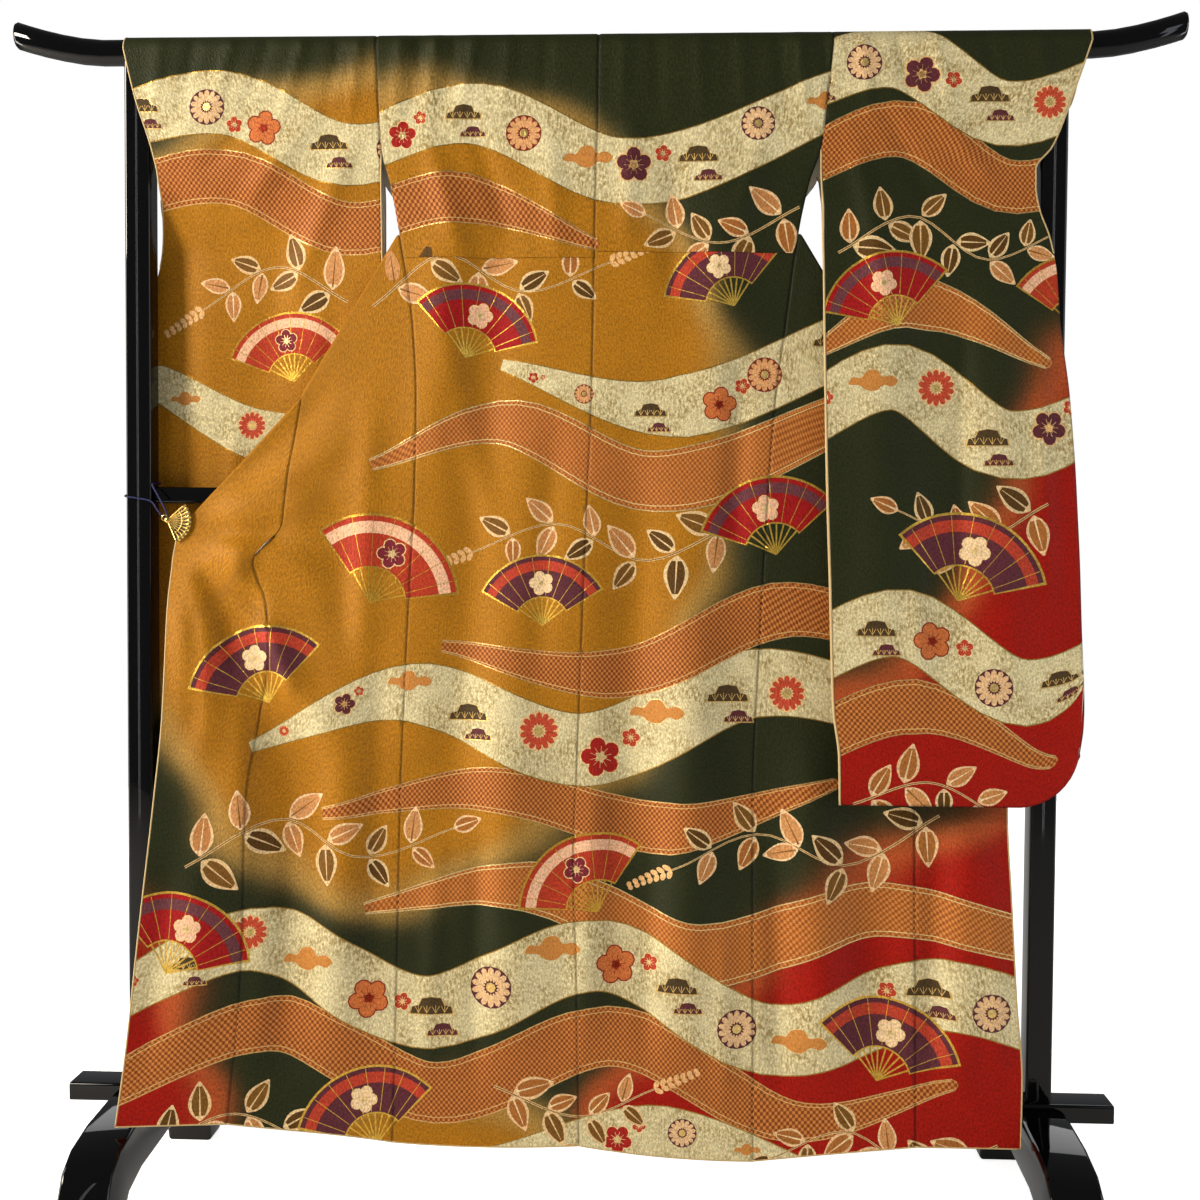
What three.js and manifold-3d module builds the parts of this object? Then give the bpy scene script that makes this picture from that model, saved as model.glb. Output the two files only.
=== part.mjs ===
// A long-sleeved silk kimono (furisode) draped over a black lacquered kimono stand, its back to the front (-Y).
// The sleeves lie along the top rail. Both fronts hang behind the rail, come forward round the side seams and
// spread outwards, each held by a gold fan clip on a cord round its post.
// Millimetres, +Z up, the floor at Z = 0, the stand centred on X = 0 and Y = 0.

import * as THREE from 'three';
import { mergeVertices } from 'three/addons/utils/BufferGeometryUtils.js';
import Module from 'manifold-3d';

const wasm = await Module();
wasm.setup();

// ---------------------------------------------------------------- driving dimensions

const GAP = 0.3; // between pieces that touch
const SEAM_GAP = 0.3; // each side of a seam line
const EDGE_GAP = 0.8; // where two edges meet on a bend behind the rail
const CLOTH = 1.6; // silk crepe with its lining
const COLLAR_CLOTH = 3.0; // folded collar strip

const POST_X = 633; // post centre from the middle of the stand
const POST_SIDE = 36;
const RAIL_TOP = 1645;
const RAIL_HALF_HEIGHT = 18;
const RAIL_HALF_DEPTH = 15;
const RAIL_HALF_LENGTH = 810;
const RAIL_STRAIGHT = 685; // half the straight length, before the ends sweep up
const RAIL_TIP_RISE = 26;
const RAIL_Z = RAIL_TOP - RAIL_HALF_HEIGHT;
const MIDDLE_RAIL = { z: 1007.5, height: 23, depth: 20 };
const BOTTOM_RAIL = { length: 1470, depth: 52, height: 26, top: 170 };
const FOOT_WIDTH = 68;

const CREST_GAP = 0.6; // cloth to top rail
const CREST_DEPTH = RAIL_HALF_DEPTH + CREST_GAP + CLOTH;
const CREST_HEIGHT = RAIL_HALF_HEIGHT + CREST_GAP + CLOTH;
const FOLD_RADIUS = 4.2; // outer radius where a front turns over
const LAYER_GAP = 0.4; // added between the two layers of a sleeve
// Where each spread piece turns over: up the side seam, up the overlap seam and at the clip.
const TURN_HEIGHT = { side: 1368, okumi: 1141, free: 952 };
const FAR_HEM = RAIL_Z - 9; // where back and front panels part behind the rail

const CLIP = { radius: 34, blades: 10, plate: 1.6, slack: 2.4, pivot: 3.6, from: -68, to: 42, jaw: 0.7 };
const CLIP_PIN = { out: 12, up: 20 }; // the clip's pivot, out from and above the corner of the cloth
const CORD_RADIUS = 1.0;
// The corner of the cloth that each clip holds.
const CORNERS = {
  left: { x: -574, y: -29, z: TURN_HEIGHT.free },
  right: { x: 575, y: -29, z: TURN_HEIGHT.free },
};

// ---------------------------------------------------------------- materials

const finish = (color, roughness, metalness = 0) => new THREE.MeshStandardMaterial({ color, roughness, metalness });
const materials = {
  lacquer: () => finish('#0b0a0b', 0.12),
  amber: () => finish('#b9801f', 0.7),
  green: () => finish('#2b3018', 0.7),
  red: () => finish('#a81c08', 0.7),
  gold: () => finish('#c9a24a', 0.3, 1),
  cord: () => finish('#1d1a4a', 0.8),
};

// ---------------------------------------------------------------- tables and curves

// A smooth curve through a table's rows, which run along its key column. It gives every column at one key value.
function curve(rows, key) {
  const names = Object.keys(rows[0]).filter((name) => name !== key);
  const keys = rows.map((row) => row[key]);
  const secant = (name, i) => (rows[i + 1][name] - rows[i][name]) / (keys[i + 1] - keys[i]);
  const slope = (name, i) => {
    if (i === 0) return secant(name, 0);
    if (i === rows.length - 1) return secant(name, i - 1);
    const before = secant(name, i - 1);
    const after = secant(name, i);
    return before * after <= 0 ? 0 : (2 * before * after) / (before + after);
  };
  return (value) => {
    let i = keys.findIndex((k, n) => n > 0 && (keys[0] < keys[1] ? value <= k : value >= k)) - 1;
    if (i < 0) i = rows.length - 2;
    const span = keys[i + 1] - keys[i];
    const t = (value - keys[i]) / span;
    const result = {};
    for (const name of names) {
      const [a, b] = [rows[i][name], rows[i + 1][name]];
      const [p, q] = [slope(name, i) * span, slope(name, i + 1) * span];
      if (t < 0) result[name] = a + p * t;
      else if (t > 1) result[name] = b + q * (t - 1);
      else {
        const [t2, t3] = [t * t, t * t * t];
        result[name] = a * (2 * t3 - 3 * t2 + 1) + p * (t3 - 2 * t2 + t) + b * (3 * t2 - 2 * t3) + q * (t3 - t2);
      }
    }
    return result;
  };
}

const mix = (a, b, t) => a + (b - a) * t;
const smooth = (t) => {
  const s = Math.min(1, Math.max(0, t));
  return s * s * (3 - 2 * s);
};
const steps = (count, from = 0, to = 1) => Array.from({ length: count + 1 }, (_, i) => mix(from, to, i / count));

// ---------------------------------------------------------------- solids from rows of points

// A closed wall: the outer face through point(u, v), the inner face one thickness in. The outer side is dU x dV.
function wall(us, vs, point, thickness = CLOTH) {
  const step = 1e-3;
  const outer = [];
  const inner = [];
  for (const v of vs) {
    for (const u of us) {
      const p = point(u, v);
      const du = point(u + step, v).sub(point(u - step, v));
      const dv = point(u, v + step).sub(point(u, v - step));
      const normal = du.cross(dv).normalize();
      outer.push(p);
      inner.push(p.clone().addScaledVector(normal, -thickness));
    }
  }
  const across = us.length;
  const count = outer.length;
  const index = [];
  const quad = (a, b, c, d) => index.push(a, b, c, a, c, d);
  for (let j = 0; j < vs.length - 1; j++) {
    for (let i = 0; i < across - 1; i++) {
      const a = j * across + i;
      quad(a, a + 1, a + 1 + across, a + across);
      quad(count + a, count + a + across, count + a + 1 + across, count + a + 1);
    }
  }
  const rim = [];
  for (let i = 0; i < across; i++) rim.push(i);
  for (let j = 1; j < vs.length; j++) rim.push(j * across + across - 1);
  for (let i = across - 2; i >= 0; i--) rim.push((vs.length - 1) * across + i);
  for (let j = vs.length - 2; j > 0; j--) rim.push(j * across);
  rim.forEach((a, n) => {
    const b = rim[(n + 1) % rim.length];
    quad(a, count + a, count + b, b);
  });
  return solid([...outer, ...inner], index);
}

function solid(points, index) {
  const geometry = new THREE.BufferGeometry();
  geometry.setAttribute('position', new THREE.Float32BufferAttribute(points.flatMap((p) => [p.x, p.y, p.z]), 3));
  geometry.setIndex(index);
  return geometry;
}

function bare(geometry) {
  const copy = geometry.clone();
  copy.deleteAttribute('normal');
  copy.deleteAttribute('uv');
  return mergeVertices(copy, 1e-4);
}

function toManifold(geometry) {
  const merged = bare(geometry);
  const vertProperties = new Float32Array(merged.attributes.position.array);
  const triVerts = new Uint32Array(merged.index.array);
  return new wasm.Manifold(new wasm.Mesh({ numProp: 3, vertProperties, triVerts }));
}

function fromManifold(manifold) {
  const mesh = manifold.getMesh();
  const geometry = new THREE.BufferGeometry();
  geometry.setAttribute('position', new THREE.BufferAttribute(new Float32Array(mesh.vertProperties), 3));
  geometry.setIndex(new THREE.BufferAttribute(new Uint32Array(mesh.triVerts), 1));
  return geometry;
}

const group = new THREE.Group();

function add(name, geometry, material) {
  const mesh = new THREE.Mesh(geometry, material());
  mesh.name = name;
  group.add(mesh);
}

// ---------------------------------------------------------------- the stand

function topRailSolid(growth = 0) {
  const sides = 20;
  const bend = RAIL_HALF_LENGTH - RAIL_STRAIGHT;
  const ends = [0, 4, 20, 42, 68, 96, bend];
  const right = ends.map((d) => RAIL_HALF_LENGTH - d).reverse();
  const stations = [...right.map((x) => -x).reverse(), ...right];
  const points = stations.flatMap((x) => {
    const past = Math.max(0, (Math.abs(x) - RAIL_STRAIGHT) / bend);
    const rounding = Math.abs(x) > RAIL_HALF_LENGTH - 1 ? 0.86 : 1;
    return steps(sides).slice(0, -1).map((turn) => {
      const angle = turn * 2 * Math.PI;
      return new THREE.Vector3(
        x,
        Math.cos(angle) * (RAIL_HALF_DEPTH + growth) * rounding,
        RAIL_Z + RAIL_TIP_RISE * past ** 1.6 + Math.sin(angle) * (RAIL_HALF_HEIGHT + growth + past) * rounding,
      );
    });
  });
  const index = [];
  for (let j = 0; j < stations.length - 1; j++) {
    for (let i = 0; i < sides; i++) {
      const [a, b] = [j * sides + i, j * sides + ((i + 1) % sides)];
      index.push(a, b, b + sides, a, b + sides, a + sides);
    }
  }
  const last = (stations.length - 1) * sides;
  for (let i = 1; i < sides - 1; i++) {
    index.push(0, i + 1, i);
    index.push(last, last + i, last + i + 1);
  }
  return solid(points, index);
}

function roundedSquare(width, depth, radius) {
  const shape = new THREE.Shape();
  const [x, y] = [width / 2 - radius, depth / 2 - radius];
  shape.absarc(x, y, radius, 0, Math.PI / 2);
  shape.absarc(-x, y, radius, Math.PI / 2, Math.PI);
  shape.absarc(-x, -y, radius, Math.PI, 1.5 * Math.PI);
  shape.absarc(x, -y, radius, 1.5 * Math.PI, 2 * Math.PI);
  return shape;
}

// A bar of rounded section, drawn along X.
function bar(length, depth, height, radius) {
  const options = { depth: length, bevelEnabled: false, curveSegments: 3 };
  const geometry = new THREE.ExtrudeGeometry(roundedSquare(depth, height, radius), options);
  geometry.rotateX(Math.PI / 2);
  geometry.rotateZ(Math.PI / 2);
  geometry.translate(-length / 2, 0, 0);
  return geometry;
}

function postSolid(x) {
  const foot = BOTTOM_RAIL.top + GAP;
  const top = RAIL_Z - RAIL_HALF_HEIGHT + 5;
  const options = { depth: top - foot, bevelEnabled: false, curveSegments: 3 };
  const post = new THREE.ExtrudeGeometry(roundedSquare(POST_SIDE, POST_SIDE, 4), options);
  post.translate(x, 0, foot);
  return fromManifold(toManifold(post).subtract(toManifold(topRailSolid(GAP))));
}

// Side view of a foot's front half: an arched beam, from its crown down to the toe and back along its underside.
const FOOT_PROFILE = [
  { y: 0, z: 162 },
  { y: 65, z: 160 },
  { y: 136, z: 155 },
  { y: 192, z: 143 },
  { y: 223, z: 123 },
  { y: 239, z: 92 },
  { y: 246, z: 45 },
  { y: 248, z: 0 },
  { y: 196, z: 0 },
  { y: 184, z: 40 },
  { y: 158, z: 72 },
  { y: 110, z: 86 },
  { y: 0, z: 94 },
];

function footSolid(x) {
  const front = FOOT_PROFILE.map((p) => new THREE.Vector2(-p.y, p.z));
  const back = FOOT_PROFILE.slice(1, -1).map((p) => new THREE.Vector2(p.y, p.z)).reverse();
  const bevel = 3;
  const options = {
    depth: FOOT_WIDTH - 2 * bevel,
    bevelEnabled: true,
    bevelThickness: bevel,
    bevelSize: bevel,
    bevelOffset: -bevel,
    bevelSegments: 1,
  };
  const geometry = new THREE.ExtrudeGeometry(new THREE.Shape([...front, ...back]), options);
  geometry.rotateX(Math.PI / 2);
  geometry.rotateZ(Math.PI / 2);
  geometry.translate(x - FOOT_WIDTH / 2 + bevel, 0, 0);
  const slotHeight = 2 * BOTTOM_RAIL.height;
  const slot = new THREE.BoxGeometry(FOOT_WIDTH + 10, BOTTOM_RAIL.depth + 2 * GAP, slotHeight);
  slot.translate(x, 0, BOTTOM_RAIL.top - BOTTOM_RAIL.height - GAP + slotHeight / 2);
  return fromManifold(toManifold(geometry).subtract(toManifold(slot)));
}

function buildStand() {
  add('top_rail', topRailSolid(), materials.lacquer);
  const innerLength = 2 * POST_X - POST_SIDE - 2 * GAP;
  const middle = bar(innerLength, MIDDLE_RAIL.depth, MIDDLE_RAIL.height, 4);
  middle.translate(0, 0, MIDDLE_RAIL.z);
  add('middle_rail', middle, materials.lacquer);
  const bottom = bar(BOTTOM_RAIL.length, BOTTOM_RAIL.depth, BOTTOM_RAIL.height, 4);
  bottom.translate(0, 0, BOTTOM_RAIL.top - BOTTOM_RAIL.height / 2);
  add('bottom_rail', bottom, materials.lacquer);
  for (const [side, sign] of [['left', -1], ['right', 1]]) {
    add(`post_${side}`, postSolid(sign * POST_X), materials.lacquer);
    add(`foot_${side}`, footSolid(sign * POST_X), materials.lacquer);
  }
}

// ---------------------------------------------------------------- the near side: both backs and the spread fronts

// Seam and edge lines of the spread cloth, from the hem up: x across and y forward (-) at each height z.
const SEAMS = {
  leftFree: [
    { z: 161, x: -618, y: -160 },
    { z: 245, x: -609, y: -150 },
    { z: 421, x: -596, y: -128 },
    { z: 591, x: -584, y: -102 },
    { z: 699, x: -579, y: -82 },
    { z: 861, x: -582, y: -44 },
    { z: 915, x: -580, y: -31.5 },
    { z: 952, x: -574, y: -29 },
    { z: 1140, x: -540, y: -22 },
    { z: 1368, x: -450, y: -20 },
    { z: 1640, x: -420, y: -20 },
  ],
  leftOkumi: [
    { z: 157, x: -476, y: -130 },
    { z: 347, x: -465, y: -104 },
    { z: 588, x: -462, y: -74 },
    { z: 698, x: -452, y: -60 },
    { z: 808, x: -439, y: -48 },
    { z: 860, x: -446, y: -44 },
    { z: 914, x: -463, y: -40 },
    { z: 970, x: -423, y: -33 },
    { z: 1057, x: -414, y: -28 },
    { z: 1141, x: -400, y: -25 },
    { z: 1368, x: -340, y: -20 },
    { z: 1640, x: -340, y: -18 },
  ],
  leftSide: [
    { z: 123, x: -258, y: -93 },
    { z: 370, x: -255, y: -76 },
    { z: 588, x: -254, y: -59 },
    { z: 717, x: -251, y: -48 },
    { z: 892, x: -245, y: -37 },
    { z: 1000, x: -240, y: -32 },
    { z: 1141, x: -238, y: -26 },
    { z: 1237, x: -243, y: -23 },
    { z: 1368, x: -263, y: -20 },
    { z: 1440, x: -277, y: -19 },
    { z: 1485, x: -289, y: -18.5 },
    { z: 1560, x: -294, y: -18 },
    { z: 1640, x: -298, y: -CREST_DEPTH },
  ],
  centre: [
    { z: 120, x: -3, y: -83 },
    { z: 349, x: -8, y: -74 },
    { z: 521, x: -14, y: -64 },
    { z: 615, x: -11, y: -58 },
    { z: 964, x: -1, y: -40 },
    { z: 1140, x: 5, y: -30 },
    { z: 1393, x: 8, y: -22 },
    { z: 1560, x: 11, y: -19 },
    { z: 1640, x: 11, y: -CREST_DEPTH },
  ],
  rightSide: [
    { z: 105, x: 234, y: -84 },
    { z: 352, x: 232, y: -76 },
    { z: 596, x: 230, y: -66 },
    { z: 800, x: 238, y: -50 },
    { z: 1000, x: 248, y: -36 },
    { z: 1141, x: 258, y: -27 },
    { z: 1237, x: 270, y: -23 },
    { z: 1368, x: 287, y: -20 },
    { z: 1440, x: 302, y: -19 },
    { z: 1485, x: 317, y: -18.5 },
    { z: 1560, x: 326, y: -18 },
    { z: 1640, x: 334, y: -CREST_DEPTH },
  ],
  rightOkumi: [
    { z: 133, x: 452, y: -92 },
    { z: 358, x: 450, y: -84 },
    { z: 587, x: 447, y: -72 },
    { z: 808, x: 441, y: -50 },
    { z: 970, x: 436, y: -34 },
    { z: 1057, x: 432, y: -29 },
    { z: 1141, x: 424, y: -25 },
    { z: 1368, x: 364, y: -20 },
    { z: 1640, x: 364, y: -18 },
  ],
  rightFree: [
    { z: 137, x: 590, y: -100 },
    { z: 228, x: 591, y: -97 },
    { z: 332, x: 583, y: -94 },
    { z: 468, x: 575, y: -88 },
    { z: 590, x: 569, y: -80 },
    { z: 861, x: 572, y: -42 },
    { z: 915, x: 574, y: -31.5 },
    { z: 952, x: 575, y: -29 },
    { z: 1140, x: 545, y: -22 },
    { z: 1368, x: 470, y: -20 },
    { z: 1640, x: 450, y: -20 },
  ],
};
const seamLine = Object.fromEntries(Object.entries(SEAMS).map(([name, rows]) => [name, curve(rows, 'z')]));

// Largest soft folds of the near side, each along a line from (x, z) to (x, z): height is towards the front.
const FOLDS = [
  { x: -566, z: 946, toX: -455, toZ: 905, width: 24, height: 8 },
  { x: -566, z: 938, toX: -500, toZ: 560, width: 26, height: 10 },
  { x: -560, z: 962, toX: -350, toZ: 1010, width: 30, height: 7 },
  { x: -540, z: 900, toX: -380, toZ: 560, width: 34, height: -8 },
  { x: -470, z: 760, toX: -540, toZ: 190, width: 36, height: 9 },
  { x: -395, z: 700, toX: -410, toZ: 150, width: 36, height: -9 },
  { x: -330, z: 900, toX: -335, toZ: 150, width: 40, height: 10 },
  { x: -200, z: 1500, toX: -215, toZ: 1000, width: 34, height: 5 },
  { x: -120, z: 1560, toX: -190, toZ: 420, width: 38, height: -7 },
  { x: -110, z: 900, toX: -95, toZ: 140, width: 44, height: 9 },
  { x: 70, z: 1250, toX: 50, toZ: 160, width: 38, height: -8 },
  { x: 150, z: 1000, toX: 140, toZ: 140, width: 40, height: 10 },
  { x: 190, z: 1560, toX: 170, toZ: 1060, width: 34, height: 5 },
  { x: 300, z: 760, toX: 330, toZ: 150, width: 36, height: 9 },
  { x: 390, z: 740, toX: 395, toZ: 150, width: 34, height: -7 },
  { x: 520, z: 700, toX: 515, toZ: 160, width: 34, height: 8 },
];

const FOLD_FADE = { start: 0.35, end: 0.3 }; // shares of a fold's length over which it rises and dies away
const SMOOTH_TOP = { below: 20, fade: 180 }; // no folds this far below the rail's middle
const FLAT_CORNER = { radius: CLIP.radius, fade: 80 }; // no folds at a clip

function foldHeight(x, z, folds) {
  let height = 0;
  for (const fold of folds) {
    const along = new THREE.Vector2(fold.toX - fold.x, fold.toZ - fold.z);
    const from = new THREE.Vector2(x - fold.x, z - fold.z);
    const length = along.length();
    along.divideScalar(length);
    const t = from.dot(along) / length;
    const off = from.cross(along) / fold.width;
    const fade = smooth(t / FOLD_FADE.start) * smooth((1 - t) / FOLD_FADE.end);
    height += fold.height * fade * Math.exp(-off * off);
  }
  return height;
}

// Depth of the near side at (x, z).
function nearDepth(x, z) {
  const rows = Object.values(seamLine).map((line) => line(z));
  const sheet = curve(rows, 'x')(x).y;
  const free = smooth((RAIL_Z - SMOOTH_TOP.below - z) / SMOOTH_TOP.fade);
  const flat = Object.values(CORNERS).map((c) => {
    return smooth((Math.hypot(x - c.x, z - c.z) - FLAT_CORNER.radius) / FLAT_CORNER.fade);
  });
  return sheet - free * Math.min(...flat) * foldHeight(x, z, FOLDS);
}

// The cloth round the crest of the rail: turn 0 is its near side and 1 its far side.
function crest(x, turn, depth = CREST_DEPTH) {
  const angle = turn * Math.PI;
  return new THREE.Vector3(x, -Math.cos(angle) * depth, RAIL_Z + Math.sin(angle) * CREST_HEIGHT);
}

const HEM_SAG = 5;
// Shares of a back panel's rows: up to the crest, and to its end behind the rail.
const CREST_START = 0.89;
const CREST_END = 0.98;
const UNDERARM = (CREST_START * (TURN_HEIGHT.side - SEAMS.leftSide[0].z)) / (RAIL_Z - SEAMS.leftSide[0].z);
const NEAR_STEPS = 17; // rows from the hem to the underarm, the same on backs and fronts so that their edges match
const BACK_ROWS = [
  ...steps(NEAR_STEPS, 0, UNDERARM),
  ...steps(5, UNDERARM, CREST_START).slice(1),
  ...steps(6, CREST_START, CREST_END).slice(1),
  1,
];

// One back panel, from its hem up, over the rail and a little way down behind it.
function backPoint(left, right, gapLeft, gapRight) {
  return (u, v) => {
    const s = Math.min(v, CREST_START) / CREST_START;
    const zAt = (rows) => mix(rows[0].z, RAIL_Z, s);
    const [a, b] = [seamLine[left](zAt(SEAMS[left])), seamLine[right](zAt(SEAMS[right]))];
    const x = mix(a.x + gapLeft, b.x - gapRight, u);
    if (v <= CREST_START) {
      const sag = -HEM_SAG * 4 * u * (1 - u) * (1 - smooth(s * 5));
      const z = mix(zAt(SEAMS[left]), zAt(SEAMS[right]), u) + sag;
      return new THREE.Vector3(x, nearDepth(x, z), z);
    }
    if (v <= CREST_END) return crest(x, (v - CREST_START) / (CREST_END - CREST_START));
    const down = (v - CREST_END) / (1 - CREST_END);
    return new THREE.Vector3(x, CREST_DEPTH, mix(RAIL_Z, FAR_HEM, down));
  };
}

function buildBacks() {
  const us = steps(9);
  add('back_left', wall(us, BACK_ROWS, backPoint('leftSide', 'centre', SEAM_GAP, SEAM_GAP)), materials.amber);
  add('back_right', wall(us, BACK_ROWS, backPoint('centre', 'rightSide', SEAM_GAP, SEAM_GAP)), materials.green);
}

// ---------------------------------------------------------------- the fronts and their overlap panels

// The far, hidden way of a front's side edge, middle and overlap seam, from the turned edge (t = 0) up to the
// shoulder (t = 1): x is out from the turn towards the middle of the back.
const FAR_FRONT = {
  side: [
    { t: 0, x: -263, y: -11.6, z: 1368 },
    { t: 0.08, x: -254, y: -9, z: 1373 },
    { t: 0.2, x: -259, y: -3, z: 1398 },
    { t: 0.32, x: -276, y: 6, z: 1424 },
    { t: 0.44, x: -290, y: 13, z: 1450 },
    { t: 0.7, x: -294, y: 17, z: 1535 },
    { t: 1, x: -298, y: CREST_DEPTH, z: FAR_HEM - EDGE_GAP },
  ],
  middle: [
    { t: 0, x: -331.5, y: -14.1, z: 1254.5 },
    { t: 0.08, x: -312, y: -14, z: 1254 },
    { t: 0.2, x: -270, y: -12, z: 1282 },
    { t: 0.32, x: -232, y: -6, z: 1345 },
    { t: 0.44, x: -212, y: 2, z: 1420 },
    { t: 0.7, x: -196, y: 14, z: 1530 },
    { t: 1, x: -193, y: CREST_DEPTH, z: FAR_HEM - EDGE_GAP },
  ],
  okumi: [
    { t: 0, x: -400, y: -16.6, z: 1141 },
    { t: 0.08, x: -376, y: -16.5, z: 1143 },
    { t: 0.2, x: -316, y: -16, z: 1170 },
    { t: 0.32, x: -250, y: -12, z: 1226 },
    { t: 0.44, x: -196, y: -4, z: 1302 },
    { t: 0.7, x: -128, y: 10, z: 1450 },
    { t: 1, x: -88, y: CREST_DEPTH, z: FAR_HEM - EDGE_GAP },
  ],
};
const OKUMI_POINT = 0.54; // t on the overlap seam where the overlap panel ends in a point

// The collar edge of the overlap panel, from the clip (w = 0) to its point (w = 1).
const farSide = curve(FAR_FRONT.side, 't');
const farMiddle = curve(FAR_FRONT.middle, 't');
const farOkumiSeam = curve(FAR_FRONT.okumi, 't');
const FAR_OKUMI = [
  { w: 0, x: -558, y: -18, z: 940 },
  { w: 0.2, x: -505, y: -20, z: 958 },
  { w: 0.5, x: -378, y: -18, z: 1035 },
  { w: 0.8, x: -250, y: -9, z: 1180 },
  { w: 1, ...farOkumiSeam(OKUMI_POINT) },
];
const farCollarEdge = curve(FAR_OKUMI, 'w');

// The right half mirrors the left about the line through the neck.
const NECK_X = 11.5;
// The right clip sits a little nearer the middle, and the right shoulder is a little wider.
const RIGHT_CLIP = { shift: -22, from: 380, fade: 170 };
const RIGHT_SHOULDER = { shift: 13, above: 1400, rise: 220, from: 120, fade: 150 };

function mirrored(point) {
  const clip = RIGHT_CLIP.shift * smooth((-point.x - RIGHT_CLIP.from) / RIGHT_CLIP.fade);
  const height = smooth((point.z - RIGHT_SHOULDER.above) / RIGHT_SHOULDER.rise);
  const shoulder = RIGHT_SHOULDER.shift * height * smooth((-point.x - RIGHT_SHOULDER.from) / RIGHT_SHOULDER.fade);
  return new THREE.Vector3(2 * NECK_X - point.x + clip + shoulder, point.y, point.z);
}

// A curve through a at t = 0, b at t = 0.5 and c at t = 1.
const quadratic = (a, b, c, t) => a * (1 - t) * (1 - 2 * t) + b * 4 * t * (1 - t) + c * t * (2 * t - 1);

// A point of the left front's hidden part: across 0 at the side edge to 1 at the overlap seam.
function farFront(across, t) {
  const [a, b, c] = [farSide(t), farMiddle(t), farOkumiSeam(t)];
  return new THREE.Vector3(
    quadratic(a.x, b.x, c.x, across),
    quadratic(a.y, b.y, c.y, across),
    quadratic(a.z, b.z, c.z, across),
  );
}

const NEAR_END = 0.62; // share of a front's rows on the near side
const TURN_END = 0.72; // and to the end of the turn
const SETTLED = 1 / 3; // share of the hidden part over which it takes its own line

// One spread piece between two seam lines. 'far' gives its hidden part for a share across and a share of the way.
function spreadPoint({ inner, outer, innerTop, outerTop, far, out, sign, gapInner, gapOuter }) {
  const near = (across, share) => {
    const zInner = mix(SEAMS[inner][0].z, innerTop, share);
    const zOuter = mix(SEAMS[outer][0].z, outerTop, share);
    const [a, b] = [seamLine[inner](zInner), seamLine[outer](zOuter)];
    const x = mix(a.x + sign * gapInner, b.x - sign * gapOuter, across);
    const z = mix(zInner, zOuter, across);
    return new THREE.Vector3(x, nearDepth(x, z), z);
  };
  return (across, v) => {
    if (v <= NEAR_END) return near(across, v / NEAR_END);
    const base = near(across, 1);
    const away = out(across);
    const toFar = far(across, 0);
    const shift = new THREE.Vector3(base.x, base.y + 2 * FOLD_RADIUS, base.z).sub(toFar);
    if (v <= TURN_END) {
      const angle = (Math.PI * (v - NEAR_END)) / (TURN_END - NEAR_END);
      base.addScaledVector(away, Math.sin(angle) * FOLD_RADIUS);
      base.y += FOLD_RADIUS * (1 - Math.cos(angle));
      return base;
    }
    const t = (v - TURN_END) / (1 - TURN_END);
    return far(across, t).addScaledVector(shift, 1 - smooth(t / SETTLED));
  };
}

const OUT = { side: -0.86, okumi: -0.8, free: -0.73 }; // x of the direction in which the cloth turns over
const outward = (x, sign) => new THREE.Vector3(sign * x, 0, Math.sqrt(1 - x * x));

const NEAR_ROWS = [...steps(NEAR_STEPS, 0, NEAR_END), ...steps(4, NEAR_END, TURN_END).slice(1)];
const FAR_SHARES = [0.03, 0.08, 0.15, 0.24, 0.34, 0.46, 0.6, 0.8, 1];
const COLLAR_SHARES = [0.25, 0.5, 0.75, 1];
const farRows = (shares) => shares.map((t) => mix(TURN_END, 1, t));
const UPPER_START = 0.0014; // a front is parted into its spread and upper stretches just behind the turn
const UPPER_ROWS = [
  ...farRows([UPPER_START, ...FAR_SHARES.map((t) => t * OKUMI_POINT)]),
  ...farRows(COLLAR_SHARES.map((t) => mix(OKUMI_POINT, 1, t))),
];
const OKUMI_ROWS = [...NEAR_ROWS, ...farRows(FAR_SHARES)];

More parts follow.
